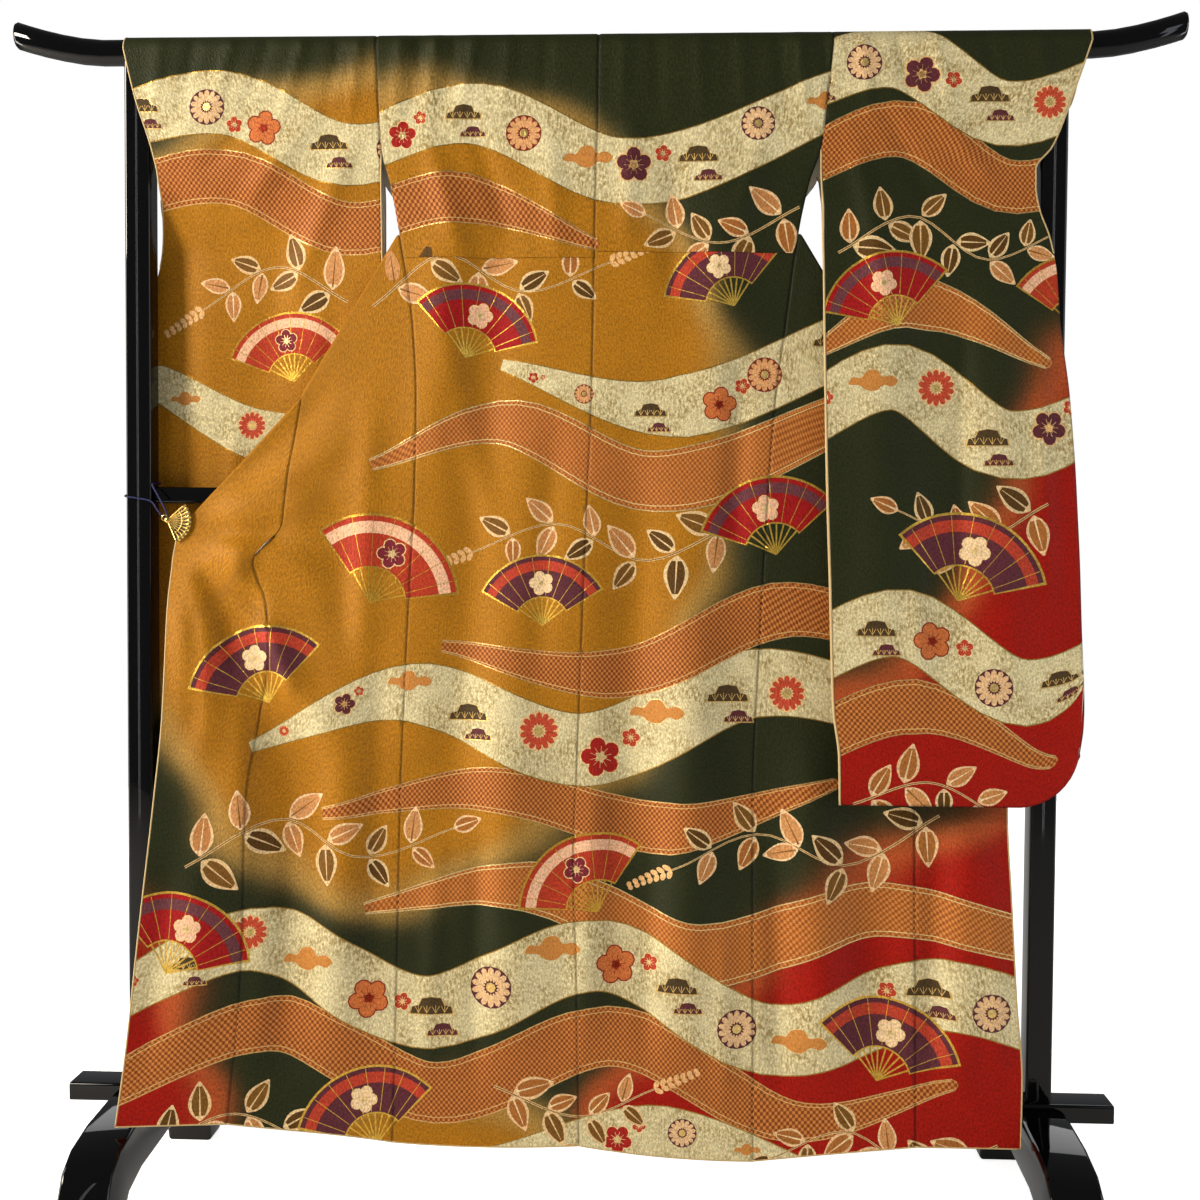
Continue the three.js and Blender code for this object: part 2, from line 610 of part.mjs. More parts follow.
function buildSpread(side, sign) {
  const turn = (point) => (sign < 0 ? point : mirrored(point));
  const oriented = (point) => (u, v) => point(sign < 0 ? 1 - u : u, v);
  const front = spreadPoint({
    inner: `${side}Side`,
    outer: `${side}Okumi`,
    innerTop: TURN_HEIGHT.side,
    outerTop: TURN_HEIGHT.okumi,
    far: (across, t) => turn(farFront(across, t)),
    out: (across) => outward(mix(OUT.side, OUT.okumi, across), -sign),
    sign,
    gapInner: SEAM_GAP,
    gapOuter: SEAM_GAP,
  });
  add(`front_${side}`, wall(steps(7), NEAR_ROWS, oriented(front)), materials.amber);
  add(`front_${side}_upper`, wall(steps(7), UPPER_ROWS, oriented(front)), materials.amber);

  // The overlap panel's hidden part runs from the turned edge to the collar edge, narrowing to its point.
  const { x, y, z } = CORNERS.left;
  const corner = new THREE.Vector3(x, y + 2 * FOLD_RADIUS, z);
  const far = (across, t) => {
    const start = farFront(1, 0).lerp(corner, across);
    const edge = farCollarEdge(1 - across);
    const seam = farFront(1, t * OKUMI_POINT);
    const straight = start.clone().lerp(new THREE.Vector3(edge.x, edge.y, edge.z), t);
    const bow = new THREE.Vector3(seam.x, seam.y, seam.z)
      .sub(farFront(1, 0).lerp(farFront(1, OKUMI_POINT), t))
      .multiplyScalar(1 - across);
    return turn(straight.add(bow));
  };
  const okumi = spreadPoint({
    inner: `${side}Okumi`,
    outer: `${side}Free`,
    innerTop: TURN_HEIGHT.okumi - EDGE_GAP,
    outerTop: TURN_HEIGHT.free,
    far: (across, t) => {
      const point = far(across, t);
      point.x -= (1 - across) * smooth(t * 5) * EDGE_GAP * sign * 0.5;
      point.z -= (1 - across) * EDGE_GAP;
      return point;
    },
    out: (across) => outward(mix(OUT.okumi, OUT.free, across), -sign),
    sign,
    gapInner: SEAM_GAP,
    gapOuter: 0,
  });
  add(`okumi_${side}`, wall(steps(5), OKUMI_ROWS, oriented(okumi)), materials.amber);
}

// ---------------------------------------------------------------- the collar, behind the rail

// Left half of the collar: its free edge, from the clip (w = 0) past the overlap panel's point (w = 1) and the
// shoulder (w = 2) to the middle of the neck (w = 3), and the rows of points along it.
const COLLAR_ROWS = [0, 0.2, 0.4, 0.6, 0.8, 1, 1.25, 1.5, 1.75, 2, 2.2, 2.4, 2.7, 3];
const COLLAR_FREE = [
  { w: 0, x: -535, z: 905 },
  { w: 0.2, x: -478, z: 915 },
  { w: 0.5, x: -346, z: 991 },
  { w: 0.8, x: -205, z: 1147 },
  { w: 1, x: -117, z: 1338 },
  { w: 1.5, x: -75, z: 1452 },
  { w: 2, x: -42, z: 1545 },
  { w: 2.4, x: -22, z: 1562 },
  { w: 3, x: NECK_X, z: 1566 },
];
const collarFree = curve(COLLAR_FREE, 'w');
const NECK_TOP = FAR_HEM - 1;
const COLLAR_OFFSET = 2.6; // from the edge that it is sewn to

function collarSeam(w) {
  if (w <= 1) return farCollarEdge(w);
  if (w <= 2) return farFront(1, mix(OKUMI_POINT, 1, w - 1));
  return { x: mix(FAR_FRONT.okumi.at(-1).x, NECK_X, w - 2), y: CREST_DEPTH, z: NECK_TOP };
}

function collarPoint(u, v) {
  const w = 2 * COLLAR_ROWS.at(-1) * Math.min(u, 1 - u);
  const seam = collarSeam(w);
  const free = collarFree(w);
  const start = new THREE.Vector3(seam.x, seam.y, Math.min(seam.z, NECK_TOP));
  const end = new THREE.Vector3(free.x, seam.y, free.z);
  const along = end.clone().sub(start).normalize();
  const point = start.lerp(end, v).addScaledVector(along, COLLAR_OFFSET * (1 - v));
  return u <= 0.5 ? point : mirrored(point);
}

function buildCollar() {
  const half = COLLAR_ROWS.map((w) => w / COLLAR_ROWS.at(-1) / 2);
  const us = [...half, ...half.slice(0, -1).reverse().map((u) => 1 - u)];
  add('collar', wall(us, steps(2), collarPoint, COLLAR_CLOTH), materials.amber);
}

// ---------------------------------------------------------------- the sleeves

// Each row gives both layers of a sleeve at one height: the sewn or free inner edge and the outer (wrist) edge.
const SLEEVES = {
  left: [
    { z: 572, innerX: -296, outerX: -640, nearIn: 16, nearOut: 23, farIn: 20, farOut: 26.5 },
    { z: 620, innerX: -296, outerX: -641, nearIn: 16, nearOut: 24, farIn: 22, farOut: 27.5 },
    { z: 800, innerX: -293, outerX: -641, nearIn: 15, nearOut: 24.5, farIn: 26, farOut: 28 },
    { z: 1007, innerX: -291, outerX: -640, nearIn: 14.5, nearOut: 24, farIn: 28, farOut: 27.5 },
    { z: 1150, innerX: -290, outerX: -637, nearIn: 9, nearOut: 24, farIn: 25, farOut: 27.5 },
    { z: 1240, innerX: -290, outerX: -632, nearIn: 3, nearOut: 23, farIn: 23, farOut: 26.5 },
    { z: 1300, innerX: -290, outerX: -622, nearIn: -3, nearOut: 22, farIn: 21, farOut: 25.5 },
    { z: 1345, innerX: -290, outerX: -611, nearIn: -7, nearOut: 20, farIn: 20, farOut: 23.5 },
    { z: 1390, innerX: -290, outerX: -604, nearIn: -11, nearOut: 6, farIn: 19, farOut: 10 },
    { z: 1420, innerX: -290, outerX: -602, nearIn: -13.5, nearOut: -6, farIn: 18, farOut: -1 },
    { z: 1450, innerX: -290, outerX: -603, nearIn: -16, nearOut: -19, farIn: 13, farOut: 16 },
    { z: 1485, innerX: -289, outerX: -610, nearIn: -18.5, nearOut: -21, farIn: 15.3, farOut: 23 },
    { z: 1560, innerX: -294, outerX: -634, nearIn: -18, nearOut: -21.5, farIn: 17.5, farOut: 23 },
    { z: 1627, innerX: -297.6, outerX: -650, nearIn: -17.3, nearOut: -21.5, farIn: 17.3, farOut: 21.5 },
  ],
  right: [
    { z: 598, innerX: 343, outerX: 655, nearIn: -110, nearOut: -112, farIn: -106, farOut: -108.5 },
    { z: 660, innerX: 342, outerX: 661, nearIn: -108, nearOut: -110, farIn: -98, farOut: -106.5 },
    { z: 727, innerX: 334, outerX: 661, nearIn: -101, nearOut: -105, farIn: -90, farOut: -101.5 },
    { z: 900, innerX: 330, outerX: 662, nearIn: -79, nearOut: -76, farIn: -66, farOut: -72.5 },
    { z: 1004, innerX: 327, outerX: 660, nearIn: -66, nearOut: -60, farIn: -53, farOut: -56.5 },
    { z: 1141, innerX: 324, outerX: 652, nearIn: -52, nearOut: -46, farIn: -42, farOut: -42.5 },
    { z: 1240, innerX: 322, outerX: 640, nearIn: -44, nearOut: -38, farIn: -36, farOut: -34.5 },
    { z: 1314, innerX: 321, outerX: 634, nearIn: -37, nearOut: -33, farIn: -30, farOut: -29.5 },
    { z: 1360, innerX: 320, outerX: 625, nearIn: -33, nearOut: -30, farIn: -22, farOut: -26.5 },
    { z: 1400, innerX: 320, outerX: 611, nearIn: -29, nearOut: -27, farIn: -12, farOut: -23 },
    { z: 1430, innerX: 318, outerX: 606, nearIn: -25, nearOut: -25, farIn: -1, farOut: -8 },
    { z: 1455, innerX: 317, outerX: 606, nearIn: -21.5, nearOut: -23.5, farIn: 13.2, farOut: 8 },
    { z: 1485, innerX: 317, outerX: 628, nearIn: -18.5, nearOut: -22.5, farIn: 15.3, farOut: 23 },
    { z: 1556, innerX: 326, outerX: 655, nearIn: -18, nearOut: -22, farIn: 17.5, farOut: 23 },
    { z: 1627, innerX: 333.4, outerX: 679, nearIn: -17.3, nearOut: -21.5, farIn: 17.3, farOut: 21.5 },
  ],
};
// The far layer's wrist edge stays behind its post until it has passed the wrist opening.
const FAR_WRIST = {
  left: [
    { z: 572, x: -640 },
    { z: 1240, x: -632 },
    { z: 1345, x: -611 },
    { z: 1390, x: -604 },
    { z: 1450, x: -604 },
    { z: 1488, x: -611 },
    { z: 1515, x: -624 },
    { z: 1560, x: -642 },
    { z: 1627, x: -650 },
  ],
  right: [
    { z: 598, x: 655 },
    { z: 727, x: 661 },
    { z: 1004, x: 660 },
    { z: 1240, x: 640 },
    { z: 1360, x: 625 },
    { z: 1400, x: 611 },
    { z: 1430, x: 605 },
    { z: 1455, x: 605 },
    { z: 1488, x: 611 },
    { z: 1515, x: 630 },
    { z: 1556, x: 664 },
    { z: 1627, x: 679 },
  ],
};
const SEWN_TO = { back: 1485, front: 1450 }; // lowest stitch of the sleeve on each body panel
const farSideHeights = curve(FAR_FRONT.side.slice(4).map(({ x, z }) => ({ z, x })), 'z');
function farSideX(side, z) {
  const x = farSideHeights(z).x;
  return side === 'left' ? x : mirrored({ x, y: 0, z }).x;
}
const SLEEVE_CORNER = 80; // radius of the rounded outer corner of the bag
const SLEEVE_FOLDS = {
  left: [
    { x: -540, z: 1500, toX: -560, toZ: 1050, width: 34, height: 5 },
    { x: -420, z: 1480, toX: -470, toZ: 1080, width: 36, height: -4 },
    { x: -470, z: 980, toX: -500, toZ: 620, width: 40, height: -4 },
  ],
  right: [
    { x: 400, z: 1560, toX: 385, toZ: 640, width: 34, height: 6 },
    { x: 470, z: 1480, toX: 480, toZ: 640, width: 38, height: -5 },
    { x: 560, z: 1420, toX: 570, toZ: 660, width: 36, height: 6 },
  ],
};
const HOLLOW = { left: 3, right: 8 }; // fullness between the two layers, beyond the table
const NEAR_SHARE = 0.3; // of that fullness, on the near layer
const PARTING = 60; // height over which the layers part, above the closed bottom
const HOLLOW_TOP = { z: 1480, fade: 200 };
const CREST_DEPTHS = { inner: 17.3, outer: 21.5 }; // the cloth's depth at the rail, at each end of a sleeve
const CREST_MEETING = 0.995; // each layer stops just short of the crest line

const SLEEVE_CREST = 0.93; // share of a sleeve's rows up to the crest
const SLEEVE_ROWS = [0, 0.02, 0.05, 0.09, ...steps(16, 0.14, 0.9), 0.93, 0.955, 0.98, 1];

function sleevePoint(side, layer) {
  const rows = SLEEVES[side];
  const table = curve(rows, 'z');
  const wrist = curve(FAR_WRIST[side], 'z');
  const bottom = rows[0].z;
  const sign = side === 'left' ? -1 : 1;
  const sewn = layer === 'near' ? SEWN_TO.back : SEWN_TO.front;
  const seam = layer === 'near' ? (z) => seamLine[`${side}Side`](z).x : (z) => farSideX(side, z);
  return (across, v) => {
    const share = Math.min(v, SLEEVE_CREST) / SLEEVE_CREST;
    const z0 = mix(bottom, RAIL_Z, share);
    const row = table(z0);
    const outerX = layer === 'near' ? row.outerX : wrist(z0).x;
    const innerX = z0 > sewn ? seam(z0) + sign * (layer === 'near' ? SEAM_GAP : EDGE_GAP) : row.innerX;
    const x = mix(innerX, outerX, across);
    // the rounded corner lifts the lowest rows towards the outer edge
    const reach = Math.max(0, SLEEVE_CORNER - Math.abs(outerX - x));
    const lift = SLEEVE_CORNER - Math.sqrt(Math.max(0, SLEEVE_CORNER ** 2 - reach ** 2));
    const z = z0 + lift * (1 - smooth(share * 4));
    const near = mix(row.nearIn, row.nearOut, across);
    const far = mix(row.farIn, row.farOut, across);
    const belly = 4 * across * (1 - across);
    const parted = smooth((z - bottom - lift) / PARTING) * smooth((HOLLOW_TOP.z - z) / HOLLOW_TOP.fade);
    const fullness = HOLLOW[side] * belly * parted;
    const waves = foldHeight(x, z, SLEEVE_FOLDS[side]) * belly;
    const free = smooth((RAIL_Z - SMOOTH_TOP.below - z) / SMOOTH_TOP.fade);
    if (v <= SLEEVE_CREST) {
      const depth = layer === 'near' ? near - fullness * NEAR_SHARE : far + LAYER_GAP + fullness;
      return new THREE.Vector3(x, depth - free * waves, z);
    }
    const turn = (CREST_MEETING * (v - SLEEVE_CREST)) / (1 - SLEEVE_CREST) / 2;
    const depth = mix(CREST_DEPTHS.inner, CREST_DEPTHS.outer, across);
    return crest(x, layer === 'near' ? turn : 1 - turn, depth);
  };
}

function buildSleeves() {
  for (const [side, sign] of [['left', -1], ['right', 1]]) {
    for (const [layer, name] of [['near', 'back'], ['far', 'front']]) {
      const point = sleevePoint(side, layer);
      const flip = (layer === 'near') === (sign < 0);
      const us = steps(9);
      const oriented = (u, v) => point(flip ? 1 - u : u, v);
      const colour = side === 'left' ? materials.amber : materials.red;
      add(`sleeve_${side}_${name}`, wall(us, SLEEVE_ROWS, oriented), colour);
    }
  }
}

// ---------------------------------------------------------------- the fan clips and their cords

// An open fan, its pivot at the origin, spreading to +X, its face to -Y, with shallow pleats.
function fanPlate(radius, face, back) {
  const { blades, from, to } = CLIP;
  const pleat = 0.5;
  const turns = steps(2 * blades, from, to);
  const point = (distance, n, y) => {
    const angle = THREE.MathUtils.degToRad(turns[n]);
    return new THREE.Vector3(Math.cos(angle) * distance, y, Math.sin(angle) * distance);
  };
  const points = [];
  const reach = (n, share) => radius * share * (n % 2 ? 1 : 0.975);
  for (let n = 0; n <= 2 * blades; n++) {
    const lift = n % 2 ? pleat : 0;
    points.push(point(reach(n, 0.1), n, face), point(reach(n, 1), n, face - lift));
    points.push(point(reach(n, 1), n, back), point(reach(n, 0.1), n, back));
  }
  const index = [];
  const quad = (a, b, c, d) => index.push(a, b, c, a, c, d);
  for (let n = 0; n < 2 * blades; n++) {
    const [a, b] = [4 * n, 4 * n + 4];
    quad(a, a + 1, b + 1, b);
    quad(a + 1, a + 2, b + 2, b + 1);
    quad(a + 2, a + 3, b + 3, b + 2);
    quad(a + 3, a, b, b + 3);
  }
  quad(0, 3, 2, 1);
  const end = 8 * blades;
  quad(end, end + 1, end + 2, end + 3);
  return toManifold(solid(points, index));
}

// The cord's way: from the clip's pin over the post's near face, once round the post and back to the pin. x is away
// from the middle, from the pin or from the post's inner or outer face, and rise is above the pin.
const CORD_WAY = [
  { from: 'pin', x: 4.9, y: -27, rise: 1 },
  { from: 'pin', x: 16, y: -25, rise: 12 },
  { from: 'inside', x: 0.4, y: -20.6, rise: 27 },
  { from: 'outside', x: -1.4, y: -19.4, rise: 33 },
  { from: 'outside', x: 1.6, y: -15.4, rise: 34 },
  { from: 'outside', x: 1.6, y: 15.4, rise: 42 },
  { from: 'outside', x: -2.4, y: 19.4, rise: 43 },
  { from: 'inside', x: 2.4, y: 19.4, rise: 52 },
  { from: 'inside', x: -1.6, y: 15.4, rise: 53 },
  { from: 'inside', x: -1.6, y: -15.4, rise: 51 },
  { from: 'inside', x: -4.6, y: -20.4, rise: 46 },
  { from: 'pin', x: 8, y: -25, rise: 18 },
  { from: 'pin', x: 2, y: -27, rise: 4.9 },
];

function buildClip(side, sign, corner) {
  const face = corner.y - CLIP.slack - CLIP.plate;
  const rear = corner.y + 2 * FOLD_RADIUS + CLIP.slack;
  const pin = new THREE.CylinderGeometry(CLIP.pivot, CLIP.pivot, rear - face + 2 * CLIP.plate, 16);
  pin.translate(0, (rear + face) / 2, 0);
  const front = fanPlate(CLIP.radius, face, face + CLIP.plate);
  const jaw = fanPlate(CLIP.radius * CLIP.jaw, rear, rear + CLIP.plate);
  const geometry = fromManifold(front.add(jaw).add(toManifold(pin)));
  geometry.translate(-CLIP_PIN.out, 0, CLIP_PIN.up);
  if (sign > 0) {
    geometry.scale(-1, 1, 1);
    const index = geometry.index.array;
    for (let i = 0; i < index.length; i += 3) [index[i], index[i + 1]] = [index[i + 1], index[i]];
  }
  geometry.translate(corner.x, 0, corner.z);
  add(`clip_${side}`, geometry, materials.gold);

  const pinX = Math.abs(corner.x) + CLIP_PIN.out;
  const post = { pin: pinX, inside: POST_X - POST_SIDE / 2, outside: POST_X + POST_SIDE / 2 };
  const route = CORD_WAY.map((row) => {
    return new THREE.Vector3(sign * (post[row.from] + row.x), row.y, corner.z + CLIP_PIN.up + row.rise);
  });
  const path = new THREE.CatmullRomCurve3(route, false, 'centripetal');
  const section = new THREE.Shape(steps(8).slice(0, -1).map((turn) => {
    return new THREE.Vector2(CORD_RADIUS).rotateAround(new THREE.Vector2(), turn * 2 * Math.PI);
  }));
  const cord = bare(new THREE.ExtrudeGeometry(section, { steps: 44, extrudePath: path }));
  add(`cord_${side}`, cord, materials.cord);
}

// ---------------------------------------------------------------- the whole

buildStand();
buildBacks();
buildSpread('left', -1);
buildSpread('right', 1);
buildCollar();
buildSleeves();
buildClip('left', -1, CORNERS.left);
buildClip('right', 1, CORNERS.right);

export default group;
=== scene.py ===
"""A long-sleeved silk kimono (furisode) over a black lacquered kimono stand, its patterned back to the front.

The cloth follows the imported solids: every panel is a thin shell in its solid's place, dyed in its own flat
coordinates, with the finer creases added. Metres, +Z up, the floor at Z = 0, the back of the garment towards -Y.
"""
import math
import random

import bmesh
import bpy
import numpy as np
from mathutils import Matrix, Vector
from mathutils.geometry import delaunay_2d_cdt
from mathutils.kdtree import KDTree


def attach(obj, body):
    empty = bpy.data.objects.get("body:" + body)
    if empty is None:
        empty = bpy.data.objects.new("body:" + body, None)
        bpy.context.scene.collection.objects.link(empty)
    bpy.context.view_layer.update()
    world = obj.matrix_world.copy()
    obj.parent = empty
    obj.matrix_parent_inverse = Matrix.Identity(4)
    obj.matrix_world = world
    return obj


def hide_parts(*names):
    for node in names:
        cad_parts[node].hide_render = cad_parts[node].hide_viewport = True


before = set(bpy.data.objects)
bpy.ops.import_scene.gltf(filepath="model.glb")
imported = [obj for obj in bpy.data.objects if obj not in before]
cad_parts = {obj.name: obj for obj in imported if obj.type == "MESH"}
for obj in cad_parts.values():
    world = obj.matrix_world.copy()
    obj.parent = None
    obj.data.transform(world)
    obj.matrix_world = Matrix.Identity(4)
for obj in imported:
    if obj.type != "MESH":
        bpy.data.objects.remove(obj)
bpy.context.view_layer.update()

# ---- Camera -------------------------------------------------------------------------------------------------
# A normal lens a little right of the middle, at chest height, 2.1 m from the rail and turned slightly left.

camera = bpy.data.objects.new("camera", bpy.data.cameras.new("camera"))
bpy.context.collection.objects.link(camera)
bpy.context.scene.camera = camera
camera.data.lens = 44.97
camera.data.sensor_width = 36
yaw, pitch, roll = (math.radians(angle) for angle in (2.591, 2.174, -0.369))
level = Vector((math.cos(yaw), math.sin(yaw), 0))
into = Vector((-math.sin(yaw), math.cos(yaw), 0))
forward = into * math.cos(pitch) - Vector((0, 0, math.sin(pitch)))
upright = into * math.sin(pitch) + Vector((0, 0, math.cos(pitch)))
right = level * math.cos(roll) - upright * math.sin(roll)
above = level * math.sin(roll) + upright * math.cos(roll)
turn = Matrix((right, above, -forward)).transposed()
camera.matrix_world = Matrix.Translation((0.11246, -2.1, 0.94373)) @ turn.to_4x4()

# ---- Lacquered stand ----------------------------------------------------------------------------------------
# Two posts on arched feet, a round top rail with upswept ends, a middle rail and a bottom rail. Hardwood under
# black urethane lacquer, sprayed and polished, which gives long mirror-like reflections and slightly soft edges.


def linear(code):
    """An sRGB hex value as linear red, green, blue and alpha."""
    parts = [int(code[i : i + 2], 16) / 255 for i in (1, 3, 5)]
    return (*[c / 12.92 if c <= 0.04045 else ((c + 0.055) / 1.055) ** 2.4 for c in parts], 1.0)


def node(material, kind, inputs=None, **settings):
    """Adds a shader node. An input's value is a plain value or another node's output."""
    made = material.node_tree.nodes.new("ShaderNode" + kind)
    for name, value in settings.items():
        setattr(made, name, value)
    for name, value in (inputs or {}).items():
        if isinstance(value, bpy.types.NodeSocket):
            material.node_tree.links.new(value, made.inputs[name])
        else:
            made.inputs[name].default_value = value
    return made


def new_material(name):
    """A material whose only nodes are its output and a Principled shader, which is returned with it."""
    material = bpy.data.materials.new(name)
    material.use_nodes = True
    shader = material.node_tree.nodes["Principled BSDF"]
    return material, shader


def join_nodes(material, output, shader, name):
    material.node_tree.links.new(output, shader.inputs[name])


lacquer, shader = new_material("polished_black_lacquer")
shader.inputs["Base Color"].default_value = linear("#030304")
shader.inputs["IOR"].default_value = 1.42
shader.inputs["Specular IOR Level"].default_value = 0.32
shader.inputs["Coat Weight"].default_value = 0.12
shader.inputs["Coat Roughness"].default_value = 0.03
spot = node(lacquer, "TexCoord").outputs["Object"]
# orange peel of the sprayed coat, about 6 mm wide and a few micrometres deep
peel = node(lacquer, "TexNoise", {"Vector": spot, "Scale": 1 / 0.006, "Detail": 1.0})
bump = node(lacquer, "Bump", {"Height": peel.outputs["Fac"], "Strength": 0.06, "Distance": 0.00005})
join_nodes(lacquer, bump.outputs["Normal"], shader, "Normal")
# fine handling haze, in patches the size of a hand
haze = node(lacquer, "TexNoise", {"Vector": spot, "Scale": 1 / 0.09, "Detail": 3.0})
range_ = node(lacquer, "MapRange", {"Value": haze.outputs["Fac"], "To Min": 0.02, "To Max": 0.05})
join_nodes(lacquer, range_.outputs["Result"], shader, "Roughness")


def added(name, data):
    """An object with this data, linked into the scene."""
    made = bpy.data.objects.new(name, data)
    bpy.context.collection.objects.link(made)
    return made


def faced_outwards(mesh):
    work = bmesh.new()
    work.from_mesh(mesh)
    bmesh.ops.recalc_face_normals(work, faces=work.faces)
    work.to_mesh(mesh)
    work.free()


def lacquered(name, edge):
    """A stand part with its edges rounded by the lacquer: the solid, merged, with its sharp edges softened."""
    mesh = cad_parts[name].data.copy()
    mesh.materials.clear()
    mesh.materials.append(lacquer)
    part = added(name + "_lacquered", mesh)
    work = bmesh.new()
    work.from_mesh(mesh)
    bmesh.ops.remove_doubles(work, verts=work.verts, dist=1e-5)
    bmesh.ops.dissolve_limit(work, angle_limit=math.radians(1), verts=work.verts, edges=work.edges)
    work.to_mesh(mesh)
    work.free()
    bpy.ops.object.select_all(action="DESELECT")
    part.select_set(True)
    bpy.context.view_layer.objects.active = part
    if edge:
        bevel = part.modifiers.new("edge", "BEVEL")
        bevel.width = edge
        bevel.segments = 3
        bevel.angle_limit = math.radians(40)
        bpy.ops.object.modifier_apply(modifier=bevel.name)
    bpy.ops.object.shade_smooth_by_angle(angle=math.radians(35))
    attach(part, "root")
    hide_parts(name)
    return part


for rail in ("top_rail", "middle_rail", "bottom_rail"):
    lacquered(rail, 0.0012)
for side in ("left", "right"):
    lacquered("post_" + side, 0)
    lacquered("foot_" + side, 0.002)


# ---- How the cloth hangs ------------------------------------------------------------------------------------
# The sheet that the two backs and the spread fronts make, from their seams and free edges. Each row is a height,
# the place across at that height and the depth there, and the largest folds run from one point to another.

seams = {
    "left_free": [
        (0.161, -0.618, -0.16), (0.245, -0.609, -0.15), (0.421, -0.596, -0.128), (0.591, -0.584, -0.102),
        (0.699, -0.579, -0.082), (0.861, -0.582, -0.044), (0.915, -0.58, -0.0315), (0.952, -0.574, -0.029),
        (1.14, -0.54, -0.022), (1.368, -0.45, -0.02), (1.64, -0.42, -0.02),
    ],
    "left_okumi": [
        (0.157, -0.476, -0.13), (0.347, -0.465, -0.104), (0.588, -0.462, -0.074), (0.698, -0.452, -0.06),
        (0.808, -0.439, -0.048), (0.86, -0.446, -0.044), (0.914, -0.463, -0.04), (0.97, -0.423, -0.033),
        (1.057, -0.414, -0.028), (1.141, -0.4, -0.025), (1.368, -0.34, -0.02), (1.64, -0.34, -0.018),
    ],
    "left_side": [
        (0.123, -0.258, -0.093), (0.37, -0.255, -0.076), (0.588, -0.254, -0.059), (0.717, -0.251, -0.048),
        (0.892, -0.245, -0.037), (1, -0.24, -0.032), (1.141, -0.238, -0.026), (1.237, -0.243, -0.023),
        (1.368, -0.263, -0.02), (1.44, -0.277, -0.019), (1.485, -0.289, -0.0185), (1.56, -0.294, -0.018),
        (1.64, -0.298, -0.0172),
    ],
    "centre": [
        (0.12, -0.003, -0.083), (0.349, -0.008, -0.074), (0.521, -0.014, -0.064), (0.615, -0.011, -0.058),
        (0.964, -0.001, -0.04), (1.14, 0.005, -0.03), (1.393, 0.008, -0.022), (1.56, 0.011, -0.019),
        (1.64, 0.011, -0.0172),
    ],
    "right_side": [
        (0.105, 0.234, -0.084), (0.352, 0.232, -0.076), (0.596, 0.23, -0.066), (0.8, 0.238, -0.05),
        (1, 0.248, -0.036), (1.141, 0.258, -0.027), (1.237, 0.27, -0.023), (1.368, 0.287, -0.02),
        (1.44, 0.302, -0.019), (1.485, 0.317, -0.0185), (1.56, 0.326, -0.018), (1.64, 0.334, -0.0172),
    ],
    "right_okumi": [
        (0.133, 0.452, -0.092), (0.358, 0.45, -0.084), (0.587, 0.447, -0.072), (0.808, 0.441, -0.05),
        (0.97, 0.436, -0.034), (1.057, 0.432, -0.029), (1.141, 0.424, -0.025), (1.368, 0.364, -0.02),
        (1.64, 0.364, -0.018),
    ],
    "right_free": [
        (0.137, 0.59, -0.1), (0.228, 0.591, -0.097), (0.332, 0.583, -0.094), (0.468, 0.575, -0.088),
        (0.59, 0.569, -0.08), (0.861, 0.572, -0.042), (0.915, 0.574, -0.0315), (0.952, 0.575, -0.029),
        (1.14, 0.545, -0.022), (1.368, 0.47, -0.02), (1.64, 0.45, -0.02),
    ],
}


def through(rows):
    """A smooth curve through rows of (key, value, ...), as a function of any number of keys."""
    rows = np.array(rows, float)
    if rows[0, 0] > rows[-1, 0]:
        rows = rows[::-1]
    keys, values = rows[:, 0], rows[:, 1:]
    secants = np.diff(values, axis=0) / np.diff(keys)[:, None]
    slopes = np.vstack([secants[:1], np.zeros_like(secants[1:]), secants[-1:]])
    product = secants[:-1] * secants[1:]
    total = np.where(product > 0, secants[:-1] + secants[1:], 1)
    slopes[1:-1] = np.where(product > 0, 2 * product / total, 0)

    def at(wanted):
        wanted = np.asarray(wanted, float)
        i = np.clip(np.searchsorted(keys, wanted, "right") - 1, 0, len(keys) - 2)
        span = (keys[i + 1] - keys[i])[..., None]
        t = (wanted[..., None] - keys[i][..., None]) / span
        a, b, p, q = values[i], values[i + 1], slopes[i] * span, slopes[i + 1] * span
        s = np.clip(t, 0, 1)
        inside = a * (2 * s**3 - 3 * s**2 + 1) + p * (s**3 - 2 * s**2 + s)
        inside += b * (3 * s**2 - 2 * s**3) + q * (s**3 - s**2)
        return inside + np.where(t < 0, p * t, 0) + np.where(t > 1, q * (t - 1), 0)

    return at


def smooth(t):
    t = np.clip(t, 0, 1)
    return t * t * (3 - 2 * t)


def mix(a, b, t):
    return a + (b - a) * t


def unit(rows):
    """Each row of vectors at length 1."""
    return rows / np.maximum(np.linalg.norm(rows, axis=1), 1e-12)[:, None]


def on_panel(place, u, v, step=1e-4):
    """Points of a panel and the unit normals there."""
    du = place(u + step, v) - place(u - step, v)
    dv = place(u, v + step) - place(u, v - step)
    return place(u, v), unit(np.cross(du, dv))


def folded(x, z, folds):
    """Height of the folds at (x, z): each rises and dies away along its line and is soft to both sides."""
    height = np.zeros_like(x)
    for x0, z0, x1, z1, width, rise in folds:
        length = math.hypot(x1 - x0, z1 - z0)
        along = ((x - x0) * (x1 - x0) + (z - z0) * (z1 - z0)) / length**2
        off = ((x - x0) * (z1 - z0) - (z - z0) * (x1 - x0)) / length / width
        height += rise * smooth(along / 0.35) * smooth((1 - along) / 0.3) * np.exp(-off * off)
    return height


